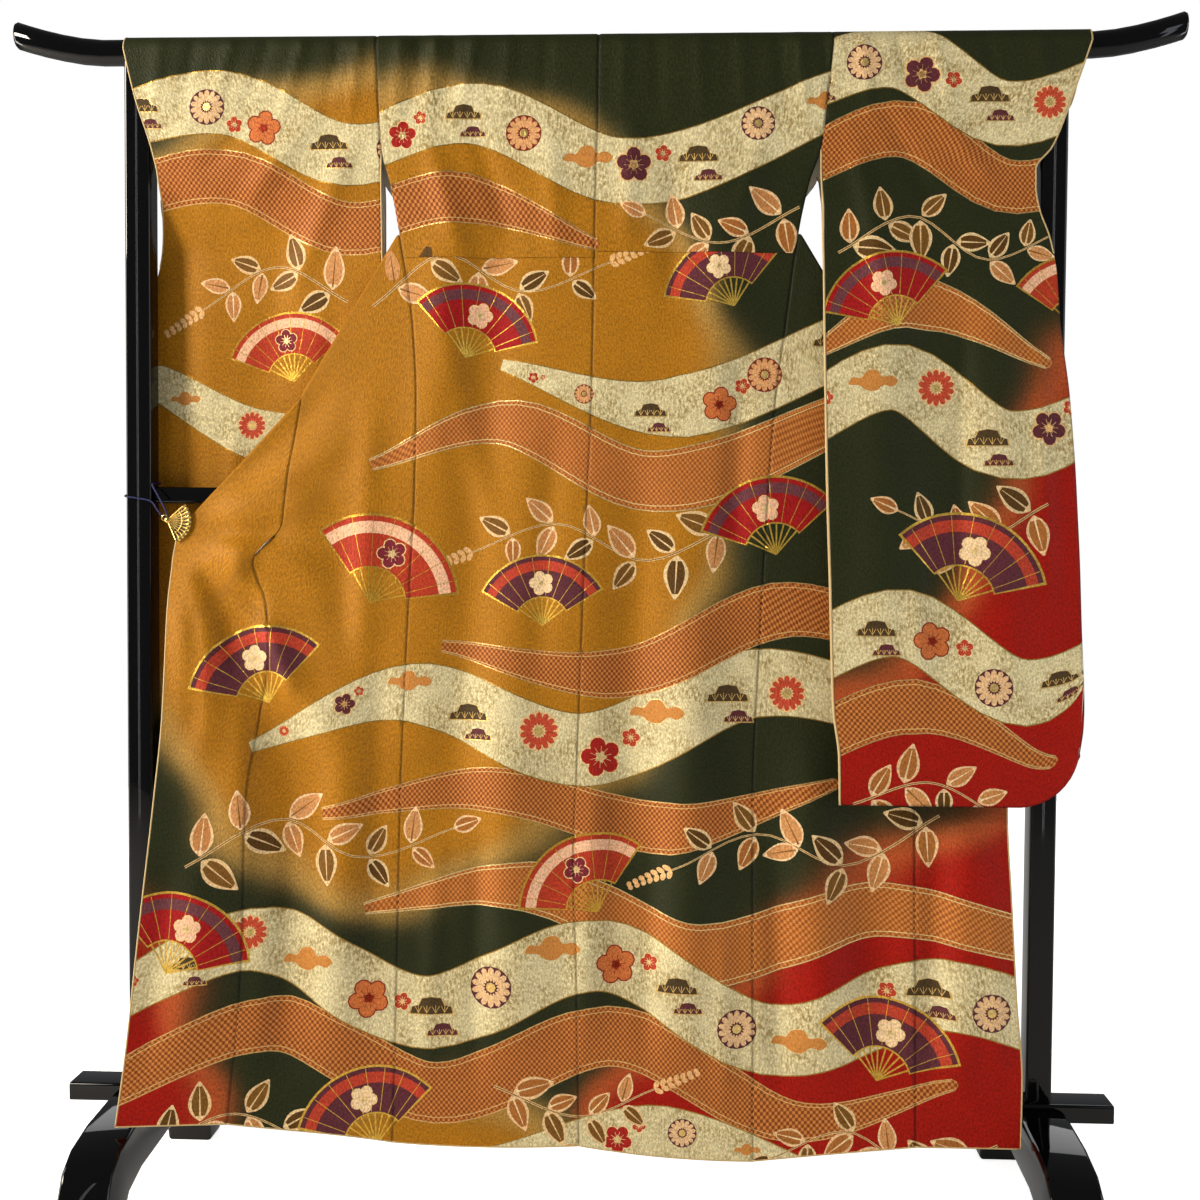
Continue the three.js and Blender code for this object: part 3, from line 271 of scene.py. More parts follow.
def across_rows(keys, values, wanted):
    """The same smooth curve where each point has keys and values of its own, a row of them for each point."""
    last = keys.shape[1] - 1
    secants = np.diff(values, axis=1) / np.diff(keys, axis=1)
    product = secants[:, :-1] * secants[:, 1:]
    total = np.where(product > 0, secants[:, :-1] + secants[:, 1:], 1)
    middle = np.where(product > 0, 2 * product / total, 0)
    slopes = np.hstack([secants[:, :1], middle, secants[:, -1:]])
    i = np.clip((keys <= wanted[:, None]).sum(1) - 1, 0, last - 1)
    n = np.arange(len(wanted))
    span = keys[n, i + 1] - keys[n, i]
    t = (wanted - keys[n, i]) / span
    a, b, p, q = values[n, i], values[n, i + 1], slopes[n, i] * span, slopes[n, i + 1] * span
    s = np.clip(t, 0, 1)
    inside = a * (2 * s**3 - 3 * s**2 + 1) + p * (s**3 - 2 * s**2 + s)
    inside += b * (3 * s**2 - 2 * s**3) + q * (s**3 - s**2)
    return inside + np.where(t < 0, p * t, 0) + np.where(t > 1, q * (t - 1), 0)


crest_depth, crest_height = 0.0172, 0.0202  # half the depth and height of the cloth's turn over the rail
rail_z = 1.627
far_hem = 1.618  # where front and back panels part, behind the rail
corners = {"left": (-0.574, -0.029, 0.952), "right": (0.575, -0.029, 0.952)}  # held by the clips
fold_radius = 0.0042
seam = {name: through(rows) for name, rows in seams.items()}
seam_foot = {name: rows[0][0] for name, rows in seams.items()}

# x and z from, x and z to, width, height towards the front
large_folds = [
    (-0.566, 0.946, -0.455, 0.905, 0.024, 0.008), (-0.566, 0.938, -0.5, 0.56, 0.026, 0.01),
    (-0.56, 0.962, -0.35, 1.01, 0.03, 0.007), (-0.54, 0.9, -0.38, 0.56, 0.034, -0.008),
    (-0.47, 0.76, -0.54, 0.19, 0.036, 0.009), (-0.395, 0.7, -0.41, 0.15, 0.036, -0.009),
    (-0.33, 0.9, -0.335, 0.15, 0.04, 0.01), (-0.2, 1.5, -0.215, 1, 0.034, 0.005),
    (-0.12, 1.56, -0.19, 0.42, 0.038, -0.007), (-0.11, 0.9, -0.095, 0.14, 0.044, 0.009),
    (0.07, 1.25, 0.05, 0.16, 0.038, -0.008), (0.15, 1, 0.14, 0.14, 0.04, 0.01),
    (0.19, 1.56, 0.17, 1.06, 0.034, 0.005), (0.3, 0.76, 0.33, 0.15, 0.036, 0.009),
    (0.39, 0.74, 0.395, 0.15, 0.034, -0.007), (0.52, 0.7, 0.515, 0.16, 0.034, 0.008),
]
# Smaller creases: pulled from the clip, hanging from the shoulders, and settling above the hem.
small_folds = [
    (-0.560, 0.930, -0.500, 0.740, 0.015, 0.0060), (-0.552, 0.940, -0.400, 0.800, 0.017, -0.0065),
    (-0.550, 0.950, -0.350, 0.900, 0.020, 0.0060), (-0.545, 0.968, -0.330, 1.180, 0.024, -0.0055),
    (-0.470, 0.890, -0.340, 0.640, 0.022, 0.0070), (-0.520, 0.780, -0.500, 0.380, 0.020, -0.0060),
    (-0.360, 1.000, -0.300, 0.620, 0.027, -0.0060), (-0.560, 0.935, -0.452, 0.870, 0.013, 0.0064),
    (-0.556, 0.925, -0.474, 0.800, 0.015, -0.0064), (-0.560, 0.955, -0.400, 0.955, 0.016, -0.0054),
    (-0.548, 0.915, -0.530, 0.640, 0.017, -0.0081), (-0.555, 0.965, -0.310, 1.095, 0.021, 0.0054),
    (-0.480, 0.800, -0.455, 0.420, 0.018, 0.0064), (-0.455, 0.870, -0.395, 0.700, 0.016, 0.0072),
    (-0.300, 1.200, -0.318, 0.700, 0.021, 0.0054), (-0.285, 0.860, -0.290, 0.300, 0.018, -0.0054),
    (-0.240, 1.560, -0.160, 1.290, 0.018, 0.0054), (-0.190, 1.600, -0.100, 1.340, 0.016, -0.0045),
    (-0.215, 1.330, -0.120, 0.900, 0.021, 0.0051), (-0.060, 1.560, -0.040, 1.300, 0.017, 0.0040),
    (-0.040, 1.180, -0.070, 0.700, 0.021, -0.0047), (0.060, 1.590, 0.050, 1.330, 0.016, 0.0044),
    (0.120, 1.540, 0.110, 1.240, 0.018, -0.0044), (0.210, 1.250, 0.200, 0.850, 0.018, -0.0054),
    (0.250, 1.580, 0.200, 1.350, 0.017, 0.0047), (0.020, 0.700, 0.000, 0.200, 0.020, 0.0054),
    (0.100, 0.640, 0.085, 0.180, 0.018, -0.0051), (-0.140, 0.620, -0.150, 0.150, 0.018, -0.0054),
    (-0.200, 0.560, -0.215, 0.160, 0.016, 0.0047), (0.190, 0.500, 0.195, 0.140, 0.016, 0.0047),
    (-0.430, 0.560, -0.440, 0.200, 0.016, 0.0047), (-0.560, 0.540, -0.590, 0.190, 0.017, -0.0054),
    (0.260, 0.560, 0.270, 0.160, 0.016, -0.0051), (0.480, 0.600, 0.470, 0.170, 0.018, -0.0054),
    (0.550, 0.560, 0.560, 0.180, 0.016, 0.0044),
]
# Gathers where the shoulders bunch up on the rail: place across, lean, width, height.
gathers = [
    (-0.262, 0.10, 0.010, 0.0030), (-0.236, 0.16, 0.008, -0.0024), (-0.214, 0.12, 0.008, 0.0032),
    (-0.188, 0.20, 0.009, -0.0022), (-0.160, 0.22, 0.008, 0.0026), (-0.112, 0.10, 0.010, 0.0018),
    (-0.060, 0.05, 0.009, -0.0014), (0.046, 0.02, 0.010, 0.0018), (0.092, -0.02, 0.009, -0.0014),
    (0.150, -0.04, 0.010, 0.0016), (0.206, -0.06, 0.010, 0.0020), (0.258, -0.10, 0.009, -0.0022),
    (0.286, -0.12, 0.008, 0.0030), (0.318, -0.14, 0.008, -0.0024),
]


def gathered(x, z, rows):
    """Height of the gathers under the rail, which fade out 0.13 m down."""
    fade = smooth((z - (rail_z - 0.13)) / 0.09)
    height = np.zeros_like(x)
    for place, lean, width, rise in rows:
        off = (x - place - lean * (z - rail_z)) / width
        height += rise * np.exp(-off * off)
    return height * fade


def near_depth(x, z):
    """Depth of the near side of the spread sheet at (x, z)."""
    z_ = np.clip(z, 0, 1.64)
    lines = np.array([seam[name](z_) for name in seams])
    sheet = across_rows(lines[:, :, 0].T, lines[:, :, 1].T, x)
    free = smooth((rail_z - 0.02 - z) / 0.18)
    flat = np.ones_like(x)
    for corner_x, _, corner_z in corners.values():
        flat = np.minimum(flat, smooth((np.hypot(x - corner_x, z - corner_z) - 0.034) / 0.08))
    near = np.clip((np.hypot(x - corners["left"][0], z - corners["left"][2]) - 0.034) / 0.03, 0, 1)
    return sheet - 1.45 * free * flat * folded(x, z, large_folds) - free * near * folded(x, z, small_folds)


def over_rail(x, turn_, depth):
    """The cloth round the crest of the rail, from its near side (0) to its far side (1)."""
    angle = turn_ * math.pi
    return np.stack([x, -np.cos(angle) * depth, rail_z + np.sin(angle) * crest_height], -1)


crest_length = 0.0588  # once over the rail

# ---- Dyed silk crepe ----------------------------------------------------------------------------------------
# Chirimen silk: over-twisted weft leaves a fine upright grain, lighter on its pebbles and darker between them as
# painted shade. The ground is brushed on in zones that fade into each other (bokashi), the figures are drawn in paste
# resist and painted, and some are gilt. Each panel's dye, with painted shade along its seams, is an attribute on its
# faces, which are cut along the outline of every figure.

silk, shader = new_material("dyed_silk_crepe")
dye_and_seam_shade = node(silk, "Attribute", attribute_name="dye_and_seam_shade").outputs["Color"]
finish = node(silk, "SeparateColor", {"Color": node(silk, "Attribute", attribute_name="finish").outputs["Color"]})
leaf_gilt, net_dots, gold_dust = (finish.outputs[name] for name in ("Red", "Green", "Blue"))
cloth_map = node(silk, "UVMap", uv_map="cut").outputs["UV"]
# crepe grain: pebbles about 2.5 mm across and 3.6 mm tall, drawn twice as coarse as real ones so that they show
grain_map = node(silk, "Mapping", {"Vector": cloth_map, "Scale": (1 / 0.0025, 1 / 0.0036, 1)})
grain = node(silk, "TexNoise", {"Vector": grain_map.outputs["Vector"], "Scale": 1.0, "Detail": 3.0, "Roughness": 0.6})
# uneven take-up of the dye, over a few centimetres
patches = node(silk, "TexNoise", {"Vector": cloth_map, "Scale": 1 / 0.06, "Detail": 4.0})
# painted shade: the colour is lighter on the raised pebbles of the grain and darker in the hollows between them
depth = node(silk, "MapRange", {"Value": grain.outputs["Fac"], "From Min": 0.36, "From Max": 0.64, "To Min": 0.70,
    "To Max": 1.30})
take_up = node(silk, "MapRange", {"Value": patches.outputs["Fac"], "From Min": 0.3, "From Max": 0.7, "To Min": 0.93,
    "To Max": 1.06})
tone = node(silk, "Math", {0: depth.outputs["Result"], 1: take_up.outputs["Result"]}, operation="MULTIPLY")
toned = node(silk, "VectorMath", {0: dye_and_seam_shade, "Scale": tone.outputs[0]}, operation="SCALE").outputs["Vector"]
# tie-dyed net (kanoko): a diagonal lattice of pale cells, 5.5 mm apart, over the brown ground
turned = node(silk, "Mapping", {"Vector": cloth_map, "Rotation": (0, 0, math.radians(45)), "Scale": (1 / 0.0055,) * 3})
parts = node(silk, "SeparateXYZ", {"Vector": turned.outputs["Vector"]})
waves = [
    node(silk, "Math", {0: node(silk, "Math", {0: parts.outputs[k], 1: 2 * math.pi},
        operation="MULTIPLY").outputs[0]}, operation="COSINE")
    for k in (0, 1)
]
cells = node(silk, "Math", {0: waves[0].outputs[0], 1: waves[1].outputs[0]}, operation="ADD")
net = node(silk, "MapRange", {"Value": cells.outputs[0], "From Min": -0.9, "From Max": 0.5, "To Min": 1.0,
    "To Max": 0.0})
net_share = node(silk, "Math", {0: net.outputs["Result"], 1: net_dots}, operation="MULTIPLY")
netted = node(silk, "Mix", {0: net_share.outputs[0], 6: toned, 7: linear("#cb8240")}, data_type="RGBA")
# gold dust strewn on the cream bands: olive-gold flecks 3 to 8 mm long
dust_map = node(silk, "Mapping", {"Vector": cloth_map, "Scale": (1 / 0.004, 1 / 0.0075, 1)})
dust = node(silk, "TexNoise", {"Vector": dust_map.outputs["Vector"], "Scale": 1.0, "Detail": 4.0, "Roughness": 0.7})
fleck = node(silk, "MapRange", {"Value": dust.outputs["Fac"], "From Min": 0.44, "From Max": 0.60, "To Min": 0.0,
    "To Max": 0.9})
cloud = node(silk, "TexNoise", {"Vector": cloth_map, "Scale": 1 / 0.05, "Detail": 2.0})
drift = node(silk, "MapRange", {"Value": cloud.outputs["Fac"], "From Min": 0.36, "From Max": 0.60, "To Min": 0.15,
    "To Max": 1.0})
strewn = node(silk, "Math", {0: fleck.outputs["Result"], 1: drift.outputs["Result"]}, operation="MULTIPLY")
dusted = node(silk, "Math", {0: strewn.outputs[0], 1: gold_dust}, operation="MULTIPLY")
colour = node(silk, "Mix", {0: dusted.outputs[0], 6: netted.outputs[2], 7: linear("#92783c")}, data_type="RGBA")
join_nodes(silk, colour.outputs[2], shader, "Base Color")
metal = node(silk, "Math", {0: leaf_gilt, 1: 0.85}, operation="MULTIPLY")
join_nodes(silk, metal.outputs[0], shader, "Metallic")
rough = node(silk, "MapRange", {"Value": leaf_gilt, "To Min": 0.50, "To Max": 0.34})
join_nodes(silk, rough.outputs["Result"], shader, "Roughness")
shader.inputs["Specular IOR Level"].default_value = 0.12
shader.inputs["Sheen Weight"].default_value = 0.01
shader.inputs["Sheen Roughness"].default_value = 0.4
relief = node(silk, "Bump", {"Height": grain.outputs["Fac"], "Strength": 0.9, "Distance": 0.0011})
join_nodes(silk, relief.outputs["Normal"], shader, "Normal")

# The white silk lining, smoother, and its warm shadow tone.
lining, shader = new_material("plain_silk_lining")
lining_map = node(lining, "UVMap", uv_map="cut").outputs["UV"]
weft = node(lining, "Mapping", {"Vector": lining_map, "Scale": (1 / 0.02, 1 / 0.0015, 1)})
slub = node(lining, "TexNoise", {"Vector": weft.outputs["Vector"], "Scale": 1.0, "Detail": 2.0})
shade = node(lining, "MapRange", {"Value": slub.outputs["Fac"], "To Min": 0.0, "To Max": 1.0})
white = node(lining, "Mix", {0: shade.outputs["Result"], 6: linear("#e9e2d0"), 7: linear("#f6f1e4")}, data_type="RGBA")
join_nodes(lining, white.outputs[2], shader, "Base Color")
shader.inputs["Roughness"].default_value = 0.5
shader.inputs["Sheen Weight"].default_value = 0.2
weave = node(lining, "Bump", {"Height": slub.outputs["Fac"], "Strength": 0.3, "Distance": 0.0002})
join_nodes(lining, weave.outputs["Normal"], shader, "Normal")

shell = 0.0017  # outer silk, lining and the air between them
cell = 0.0078  # spacing of a panel's points where no figure needs more
seam_depth, seam_width = 0.0011, 0.0019
far_miss, small_figure = 0.003, 0.12  # a small figure that misses its place on a panel by more is left off it


def to_panel(plan, points):
    """Where points of the pattern lie on a panel: the (u, v) whose plan is that point."""
    u, v = (a.ravel() for a in np.meshgrid(np.linspace(-0.4, 1.4, 37), np.linspace(-0.03, 1.03, 107)))
    tree = KDTree(len(u))
    for k, (x, z) in enumerate(plan(u, v)):
        tree.insert((x, z, 0), k)
    tree.balance()
    nearest = [tree.find((x, z, 0))[1] for x, z in points]
    u, v, step = u[nearest], v[nearest], 1e-4
    for _ in range(7):
        here = plan(u, v)
        du = (plan(u + step, v) - here) / step
        dv = (plan(u, v + step) - here) / step
        miss = points - here
        size = du[:, 0] * dv[:, 1] - du[:, 1] * dv[:, 0]
        size = np.where(np.abs(size) < 1e-9, 1e-9, size)
        u = np.clip(u + np.clip((miss[:, 0] * dv[:, 1] - miss[:, 1] * dv[:, 0]) / size, -0.2, 0.2), -0.6, 1.6)
        v = np.clip(v + np.clip((du[:, 0] * miss[:, 1] - du[:, 1] * miss[:, 0]) / size, -0.1, 0.1), -0.06, 1.06)
    return np.stack([u, v], 1)


def inside(points, outline):
    """Which points lie inside an outline, by the even-odd rule."""
    a, b = outline, np.roll(outline, -1, 0)
    x, y = points[:, :1], points[:, 1:]
    crosses = (a[:, 1] > y) != (b[:, 1] > y)
    rise = np.where(b[:, 1] == a[:, 1], 1e-12, b[:, 1] - a[:, 1])
    return (crosses & (x < a[:, 0] + (y - a[:, 1]) * (b[:, 0] - a[:, 0]) / rise)).sum(1) % 2 == 1


def triangulated(points, edges, size):
    """Triangles over a panel's flat rectangle through the points, along the edges."""
    found = delaunay_2d_cdt([Vector(p) for p in points], edges, [], 0, 1e-6)
    flat = np.array([tuple(p) for p in found[0]])
    faces = np.array([f for f in found[2] if len(f) == 3])
    middle = flat[faces].mean(1)
    kept = (middle > 0).all(1) & (middle < size).all(1)
    faces = faces[kept]
    a, b, c = (flat[faces[:, k]] for k in range(3))
    area = (b - a)[:, 0] * (c - a)[:, 1] - (b - a)[:, 1] * (c - a)[:, 0]
    faces = faces[np.abs(area) > 1e-12]
    used, faces = np.unique(faces, return_inverse=True)
    return flat[used], faces.reshape(-1, 3)


def border_of(flat, size):
    """The points on the rectangle's border, in order, from the lower left corner round to the right."""
    w, h = size
    on = lambda k, value: np.nonzero(np.abs(flat[:, k] - value) < 1e-6)[0]
    low, high, left, right_ = on(1, 0), on(1, h), on(0, 0), on(0, w)
    sides = [
        low[np.argsort(flat[low, 0])],
        right_[np.argsort(flat[right_, 1])],
        high[np.argsort(-flat[high, 0])],
        left[np.argsort(-flat[left, 1])],
    ]
    ring = []
    for side_ in sides:
        ring += [i for i in side_ if not ring or i != ring[-1]]
    return np.array(ring[:-1] if ring[0] == ring[-1] else ring)


def make_cloth(name, nodes, place, plan, size, columns, rows, figures, ground, relief, area=None):
    """One panel as a thin shell: its dyed side is cut along the figures, its inner side is the lining."""
    size = np.array(size)
    grid = [(u * size[0], v * size[1]) for v in rows for u in columns]
    points, edges, outlines = list(grid), [], []
    u, v = (a.ravel() for a in np.meshgrid(np.linspace(-0.05, 1.05, 12), np.linspace(0, 1, 60)))
    reach = plan(u, v)
    low, high = reach.min(0) - 0.01, reach.max(0) + 0.01
    figures = [f for f in figures if (f[0].max(0) > low).all() and (f[0].min(0) < high).all()]
    t, one = np.linspace(0, 1, 80), np.ones(80)
    outer_edge = plan(np.concatenate([t, one, t[::-1], 0 * one]), np.concatenate([0 * one, t, one, t[::-1]]))
    figures = [f for f in figures if inside(f[0], outer_edge).any() or inside(outer_edge, f[0]).any()]
    wanted = np.concatenate([f[0] for f in figures]) if figures else np.zeros((0, 2))
    placed = to_panel(plan, wanted) if len(wanted) else wanted
    start, missed = 0, np.linalg.norm(plan(*placed.T) - wanted, axis=1)
    for outline, colour, shine in figures:
        shape, miss = placed[start : start + len(outline)] * size, missed[start : start + len(outline)]
        start += len(outline)
        if miss.max() > far_miss and np.ptp(outline, axis=0).max() < small_figure:
            continue
        low, high = shape.min(0), shape.max(0)
        if (high < 0).any() or (low > size).any() or (high - low > 1.6).any():
            continue
        first = len(points)
        points += [tuple(p) for p in shape]
        edges += [(first + k, first + (k + 1) % len(shape)) for k in range(len(shape))]
        outlines.append((shape, colour, shine))
    corners_ = [(0, 0), (size[0], 0), tuple(size), (0, size[1])]
    first = len(points)
    points += corners_
    edges += [(first + k, first + (k + 1) % 4) for k in range(4)]
    outer, outer_faces = triangulated(points, edges, size)
    ring = border_of(outer, size)
    plain = [(u * size[0], v * size[1]) for v in rows[2:-2] for u in columns[2:-2]]
    count = len(ring)
    inner, inner_faces = triangulated(
        [tuple(outer[i]) for i in ring] + plain, [(k, (k + 1) % count) for k in range(count)], size
    )
    inner_ring = border_of(inner, size)

    def lifted(flat_):
        at, normal = on_panel(place, *(flat_ / size).T)
        return at + normal * relief(*(flat_ / size).T)[:, None], normal

    top, _ = lifted(outer)
    # the normals follow the relief as well
    e = 4e-4
    du = lifted(outer + (e, 0))[0] - lifted(outer - (e, 0))[0]
    dv = lifted(outer + (0, e))[0] - lifted(outer - (0, e))[0]
    shown = unit(np.cross(du, dv))
    under, under_normal = lifted(inner)
    under = under - under_normal * shell
    if len(inner_ring) != count:
        raise ValueError(f"{name}: the borders differ, {count} and {len(inner_ring)}")
    total = len(outer)
    rim = [(ring[k], inner_ring[k] + total, inner_ring[(k + 1) % count] + total,
        ring[(k + 1) % count]) for k in range(count)]
    faces = [tuple(f) for f in outer_faces] + [(f[0] + total, f[2] + total, f[1] + total) for f in inner_faces] + rim
    mesh = bpy.data.meshes.new(name)
    mesh.from_pydata(np.vstack([top, under]).tolist(), [], [tuple(int(i) for i in f) for f in faces])
    for material in (silk, lining):
        mesh.materials.append(material)
    slots = np.array([0] * len(outer_faces) + [1] * len(inner_faces) + [0] * len(rim), np.int32)
    mesh.polygons.foreach_set("material_index", slots)
    mesh.polygons.foreach_set("use_smooth", np.ones(len(faces), bool))

    # the dye: the ground at each corner, then each figure over it, then painted shade along the seams
    loops = np.concatenate([np.array(f) for f in faces])
    n_outer = 3 * len(outer_faces)
    shade_ = ground(plan(*(outer / size).T))[outer_faces.ravel()]
    # painted shade: the colour is darkened, to about half at the very edge, where a seam draws the cloth in
    painted_seam_shade = np.clip(1.06 + relief(*(outer / size).T) / seam_depth * 0.6, 0.45, 1)[outer_faces.ravel(), None]
    shine_ = np.zeros((n_outer, 3))
    middle = outer[outer_faces].mean(1)
    order = np.argsort(middle[:, 1])
    heights = middle[order, 1]
    for shape, colour, shine in outlines:
        low, high = shape.min(0), shape.max(0)
        a, b = np.searchsorted(heights, (low[1], high[1]))
        near = order[a:b]
        near = near[(middle[near, 0] >= low[0]) & (middle[near, 0] <= high[0])]
        if not len(near):
            continue
        hit = near[inside(middle[near], shape)]
        corners_hit = (hit[:, None] * 3 + np.arange(3)).ravel()
        shade_[corners_hit] = colour
        shine_[corners_hit] = shine
    colours = np.ones((len(loops), 4), np.float32)
    colours[:n_outer, :3] = shade_ * painted_seam_shade
    colours[n_outer:, :3] = linear("#4a3014")[:3]
    finishes = np.zeros((len(loops), 4), np.float32)
    finishes[:, 3] = 1
    finishes[:n_outer, :3] = shine_
    # the colour attribute holds the dye with the painted seam shade multiplied in
    for label, values in (("dye_and_seam_shade", colours), ("finish", finishes)):
        layer = mesh.color_attributes.new(label, "BYTE_COLOR", "CORNER")
        layer.data.foreach_set("color", values.ravel())
    cut = np.vstack([outer, inner])[loops]
    mesh.uv_layers.new(name="cut").data.foreach_set("uv", cut.astype(np.float32).ravel())
    share = cut / size
    packed = np.where((loops < total)[:, None], share * (0.62, 0.99) + 0.004, share * (0.35, 0.99) + (0.638, 0.004))
    step = np.arange(count) / count * 0.99
    rim_x, rim_y = np.tile([0.992, 0.998, 0.998, 0.992],
        count), np.stack([step, step, step + 0.9 / count, step + 0.9 / count], 1)
    packed[-4 * count :] = np.stack([rim_x, rim_y.ravel()], 1)
    mesh.uv_layers.new(name="OFBake").data.foreach_set("uv", packed.astype(np.float32).ravel())
    mesh.uv_layers.active_index = 0
    mesh.normals_split_custom_set_from_vertices(np.vstack([shown, -under_normal]).tolist())
    mesh.validate()
    piece = added(name, mesh)
    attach(piece, "root")
    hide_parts(*nodes)
    return piece


def columns_for(width, edge=0.0115):
    """Shares across a panel: even cells, with closer points along both edges for the seams."""
    near = np.array([0, 0.0008, 0.0018, 0.0036, 0.0070]) / width
    inner_ = np.linspace(edge / width, 1 - edge / width, max(3, round((width - 2 * edge) / cell)) + 1)
    return [float(a) for a in np.concatenate([near, inner_, 1 - near[::-1]])]


def rows_between(*stops):
    """Shares up a panel: from stop to stop, each with its number of steps."""
    rows = [stops[0]]
    for count, stop in zip(stops[1::2], stops[2::2]):
        rows += [float(a) for a in np.linspace(rows[-1], stop, count + 1)[1:]]
    return rows


def seam_dip(distance):
    """A sewn seam draws the cloth in by a millimetre."""
    return -seam_depth * np.exp(-((distance / seam_width) ** 2))


# ---- The dyed design ----------------------------------------------------------------------------------------
# Bands of mist drift across in groups, cream strewn with gold dust or brown with a tie-dyed net. Folding fans,
# blossoms and sprays of pointed leaves lie over them. All of it is plain stock ornament in an arrangement of its own.

plain, gilded, netted_, dusty = (0, 0, 0), (1, 0, 0), (0, 1, 0), (0, 0, 1)
chance = random.Random(29)


def dyed(outline, code, finish_=plain):
    """One dyed shape: its outline in steps of 1 cm at most, so that it can follow the folds, its colour and finish."""
    a = np.array(outline, float)
    b = np.roll(a, -1, 0)
    steps = np.maximum(1, np.ceil(np.linalg.norm(b - a, axis=1) / 0.010)).astype(int)
    part = np.repeat(np.arange(len(a)), steps)
    share = (np.arange(len(part)) - np.repeat(np.cumsum(steps) - steps, steps)) / steps[part]
    return mix(a[part], b[part], share[:, None]), np.array(linear(code)[:3]), np.array(finish_, float)


def flowing(points, count, closed=False):
    """A smooth curve through points, stepped evenly."""
    p = np.array(points, float)
    if closed:
        p = np.vstack([p[-2:], p, p[:3]])
    key = np.concatenate([[0], np.cumsum(np.linalg.norm(np.diff(p, axis=0), axis=1))])
    slopes = np.gradient(p, key, axis=0)
    start, end = (key[2], key[-3]) if closed else (0, key[-1])
    at = np.linspace(start, end, count, endpoint=not closed)
    i = np.clip(np.searchsorted(key, at, "right") - 1, 0, len(key) - 2)
    h = (key[i + 1] - key[i])[:, None]
    s = (at[:, None] - key[i][:, None]) / h
    a, b, m, n = p[i], p[i + 1], slopes[i] * h, slopes[i + 1] * h
    return a * (2 * s**3 - 3 * s**2 + 1) + m * (s**3 - 2 * s**2 + s) + b * (3 * s**2 - 2 * s**3) + n * (s**3 - s**2)


def heading(angle):
    return np.array([math.cos(angle), math.sin(angle)])


def beside(line):
    """Unit vectors to the left of a line at each of its points."""
    way = unit(np.gradient(line, axis=0))
    return np.stack([-way[:, 1], way[:, 0]], 1), way


def drawn(line, width):
    """Outline of a line of a given width."""
    side_, _ = beside(np.array(line, float))
    half_ = np.reshape(width, (-1, 1)) / 2
    return np.vstack([line + side_ * half_, (line - side_ * half_)[::-1]])


def oval(at, angle, length, width, count=12, blunt=0.0):
    """An oval that starts at a point and runs off at an angle; blunt makes its far end fuller."""
    turn_ = np.linspace(0, 2 * math.pi, count, endpoint=False)
    x = length / 2 * (1 - np.cos(turn_))
    y = width / 2 * np.sin(turn_) * (1 + blunt * (2 * x / length - 1))
    along, across = heading(angle), heading(angle + math.pi / 2)
    return at + x[:, None] * along + y[:, None] * across


def disc(at, radius, count=10):
    return oval(np.array(at) - (radius, 0), 0, 2 * radius, 2 * radius, count)


leaf_tones = [  # fill, outline, vein, how wide the outline is
    ("#5a3c14", "#e2c490", "#e2c490", 0.12),
    ("#76501e", "#e0be8a", "#e0be8a", 0.12),
    ("#c0824a", "#e8c290", "#f0d2a4", 0.09),
    ("#cc9058", "#ecc898", "#8a5a2a", 0.06),
    ("#a5662e", "#e4bc8a", "#ecd0a0", 0.10),
]


def leaf(at, angle, size, tones):
    """A pointed leaf, its outline kept pale by the resist, with one long vein."""
    fill, edge, vein, rim = tones
    tip = heading(angle)
    share = np.linspace(0, 1, 9)
    full = np.sin(math.pi * share**0.8)
    spine = at + np.outer(share, tip) * size
    return [
        dyed(drawn(spine, full * size * (0.42 + rim) + 0.0022), edge),
        dyed(drawn(spine[1:-1], full[1:-1] * size * 0.40 + 0.0006), fill),
        dyed(drawn([at + tip * size * 0.06, at + tip * size * 0.45, at + tip * size * 0.85],
            [0.0026, 0.0018, 0.0006]), vein),
    ]


def spray(points, pairs, size, buds=True):
    """A stem with pairs of pointed leaves and a row of buds at its end."""
    line = flowing(points, 20)
    made = [dyed(drawn(line, np.linspace(0.0036, 0.0022, 20)), "#dcbc84"),
        dyed(drawn(line, np.linspace(0.0016, 0.0008, 20)), "#7a5426")]
    side_, way = beside(line)
    for k in range(pairs):
        share = (k + 0.6) / (pairs + 0.4)
        i = min(int(share * 19), 18)
        angle = math.atan2(way[i][1], way[i][0])
        for turn_ in (1, -1):
            lean = angle + turn_ * chance.uniform(0.65, 1.25)
            own = size * chance.uniform(0.90, 1.16) * (1.12 - 0.30 * share)
            foot = line[i] + heading(lean) * 0.004
            made += leaf(foot, lean, own, chance.choice(leaf_tones))
    angle = math.atan2(way[-1][1], way[-1][0])
    if buds:
        for k in range(7):
            at = line[-1] + heading(angle) * 0.010 * k
            for turn_ in (0.8, -0.8):
                made.append(dyed(oval(at, angle + turn_, 0.013 - 0.001 * k, 0.0075, 8), "#e3b277"))
    else:
        made += leaf(line[-1], angle, size * 0.8, chance.choice(leaf_tones))
    return made


def plum(at, size, tones=("#a3221a", "#e9c98c")):
    """A five-petalled plum blossom seen from the front."""
    start = chance.uniform(0, 2 * math.pi)
    made = []
    for shade_, grow in ((tones[1], 1.0), (tones[0], 0.84)):
        for k in range(5):
            centre_ = at + heading(start + k * 2 * math.pi / 5) * size * 0.30
            made.append(dyed(disc(centre_, size * 0.235 * grow), shade_))
    made.append(dyed(disc(at, size * 0.10, 8), tones[1], gilded))
    for k in range(10):
        ray = heading(start + (k + 0.5) * math.pi / 5)
        made.append(dyed(drawn([at + ray * size * 0.12, at + ray * size * 0.27], 0.0007), tones[1], gilded))
    return made


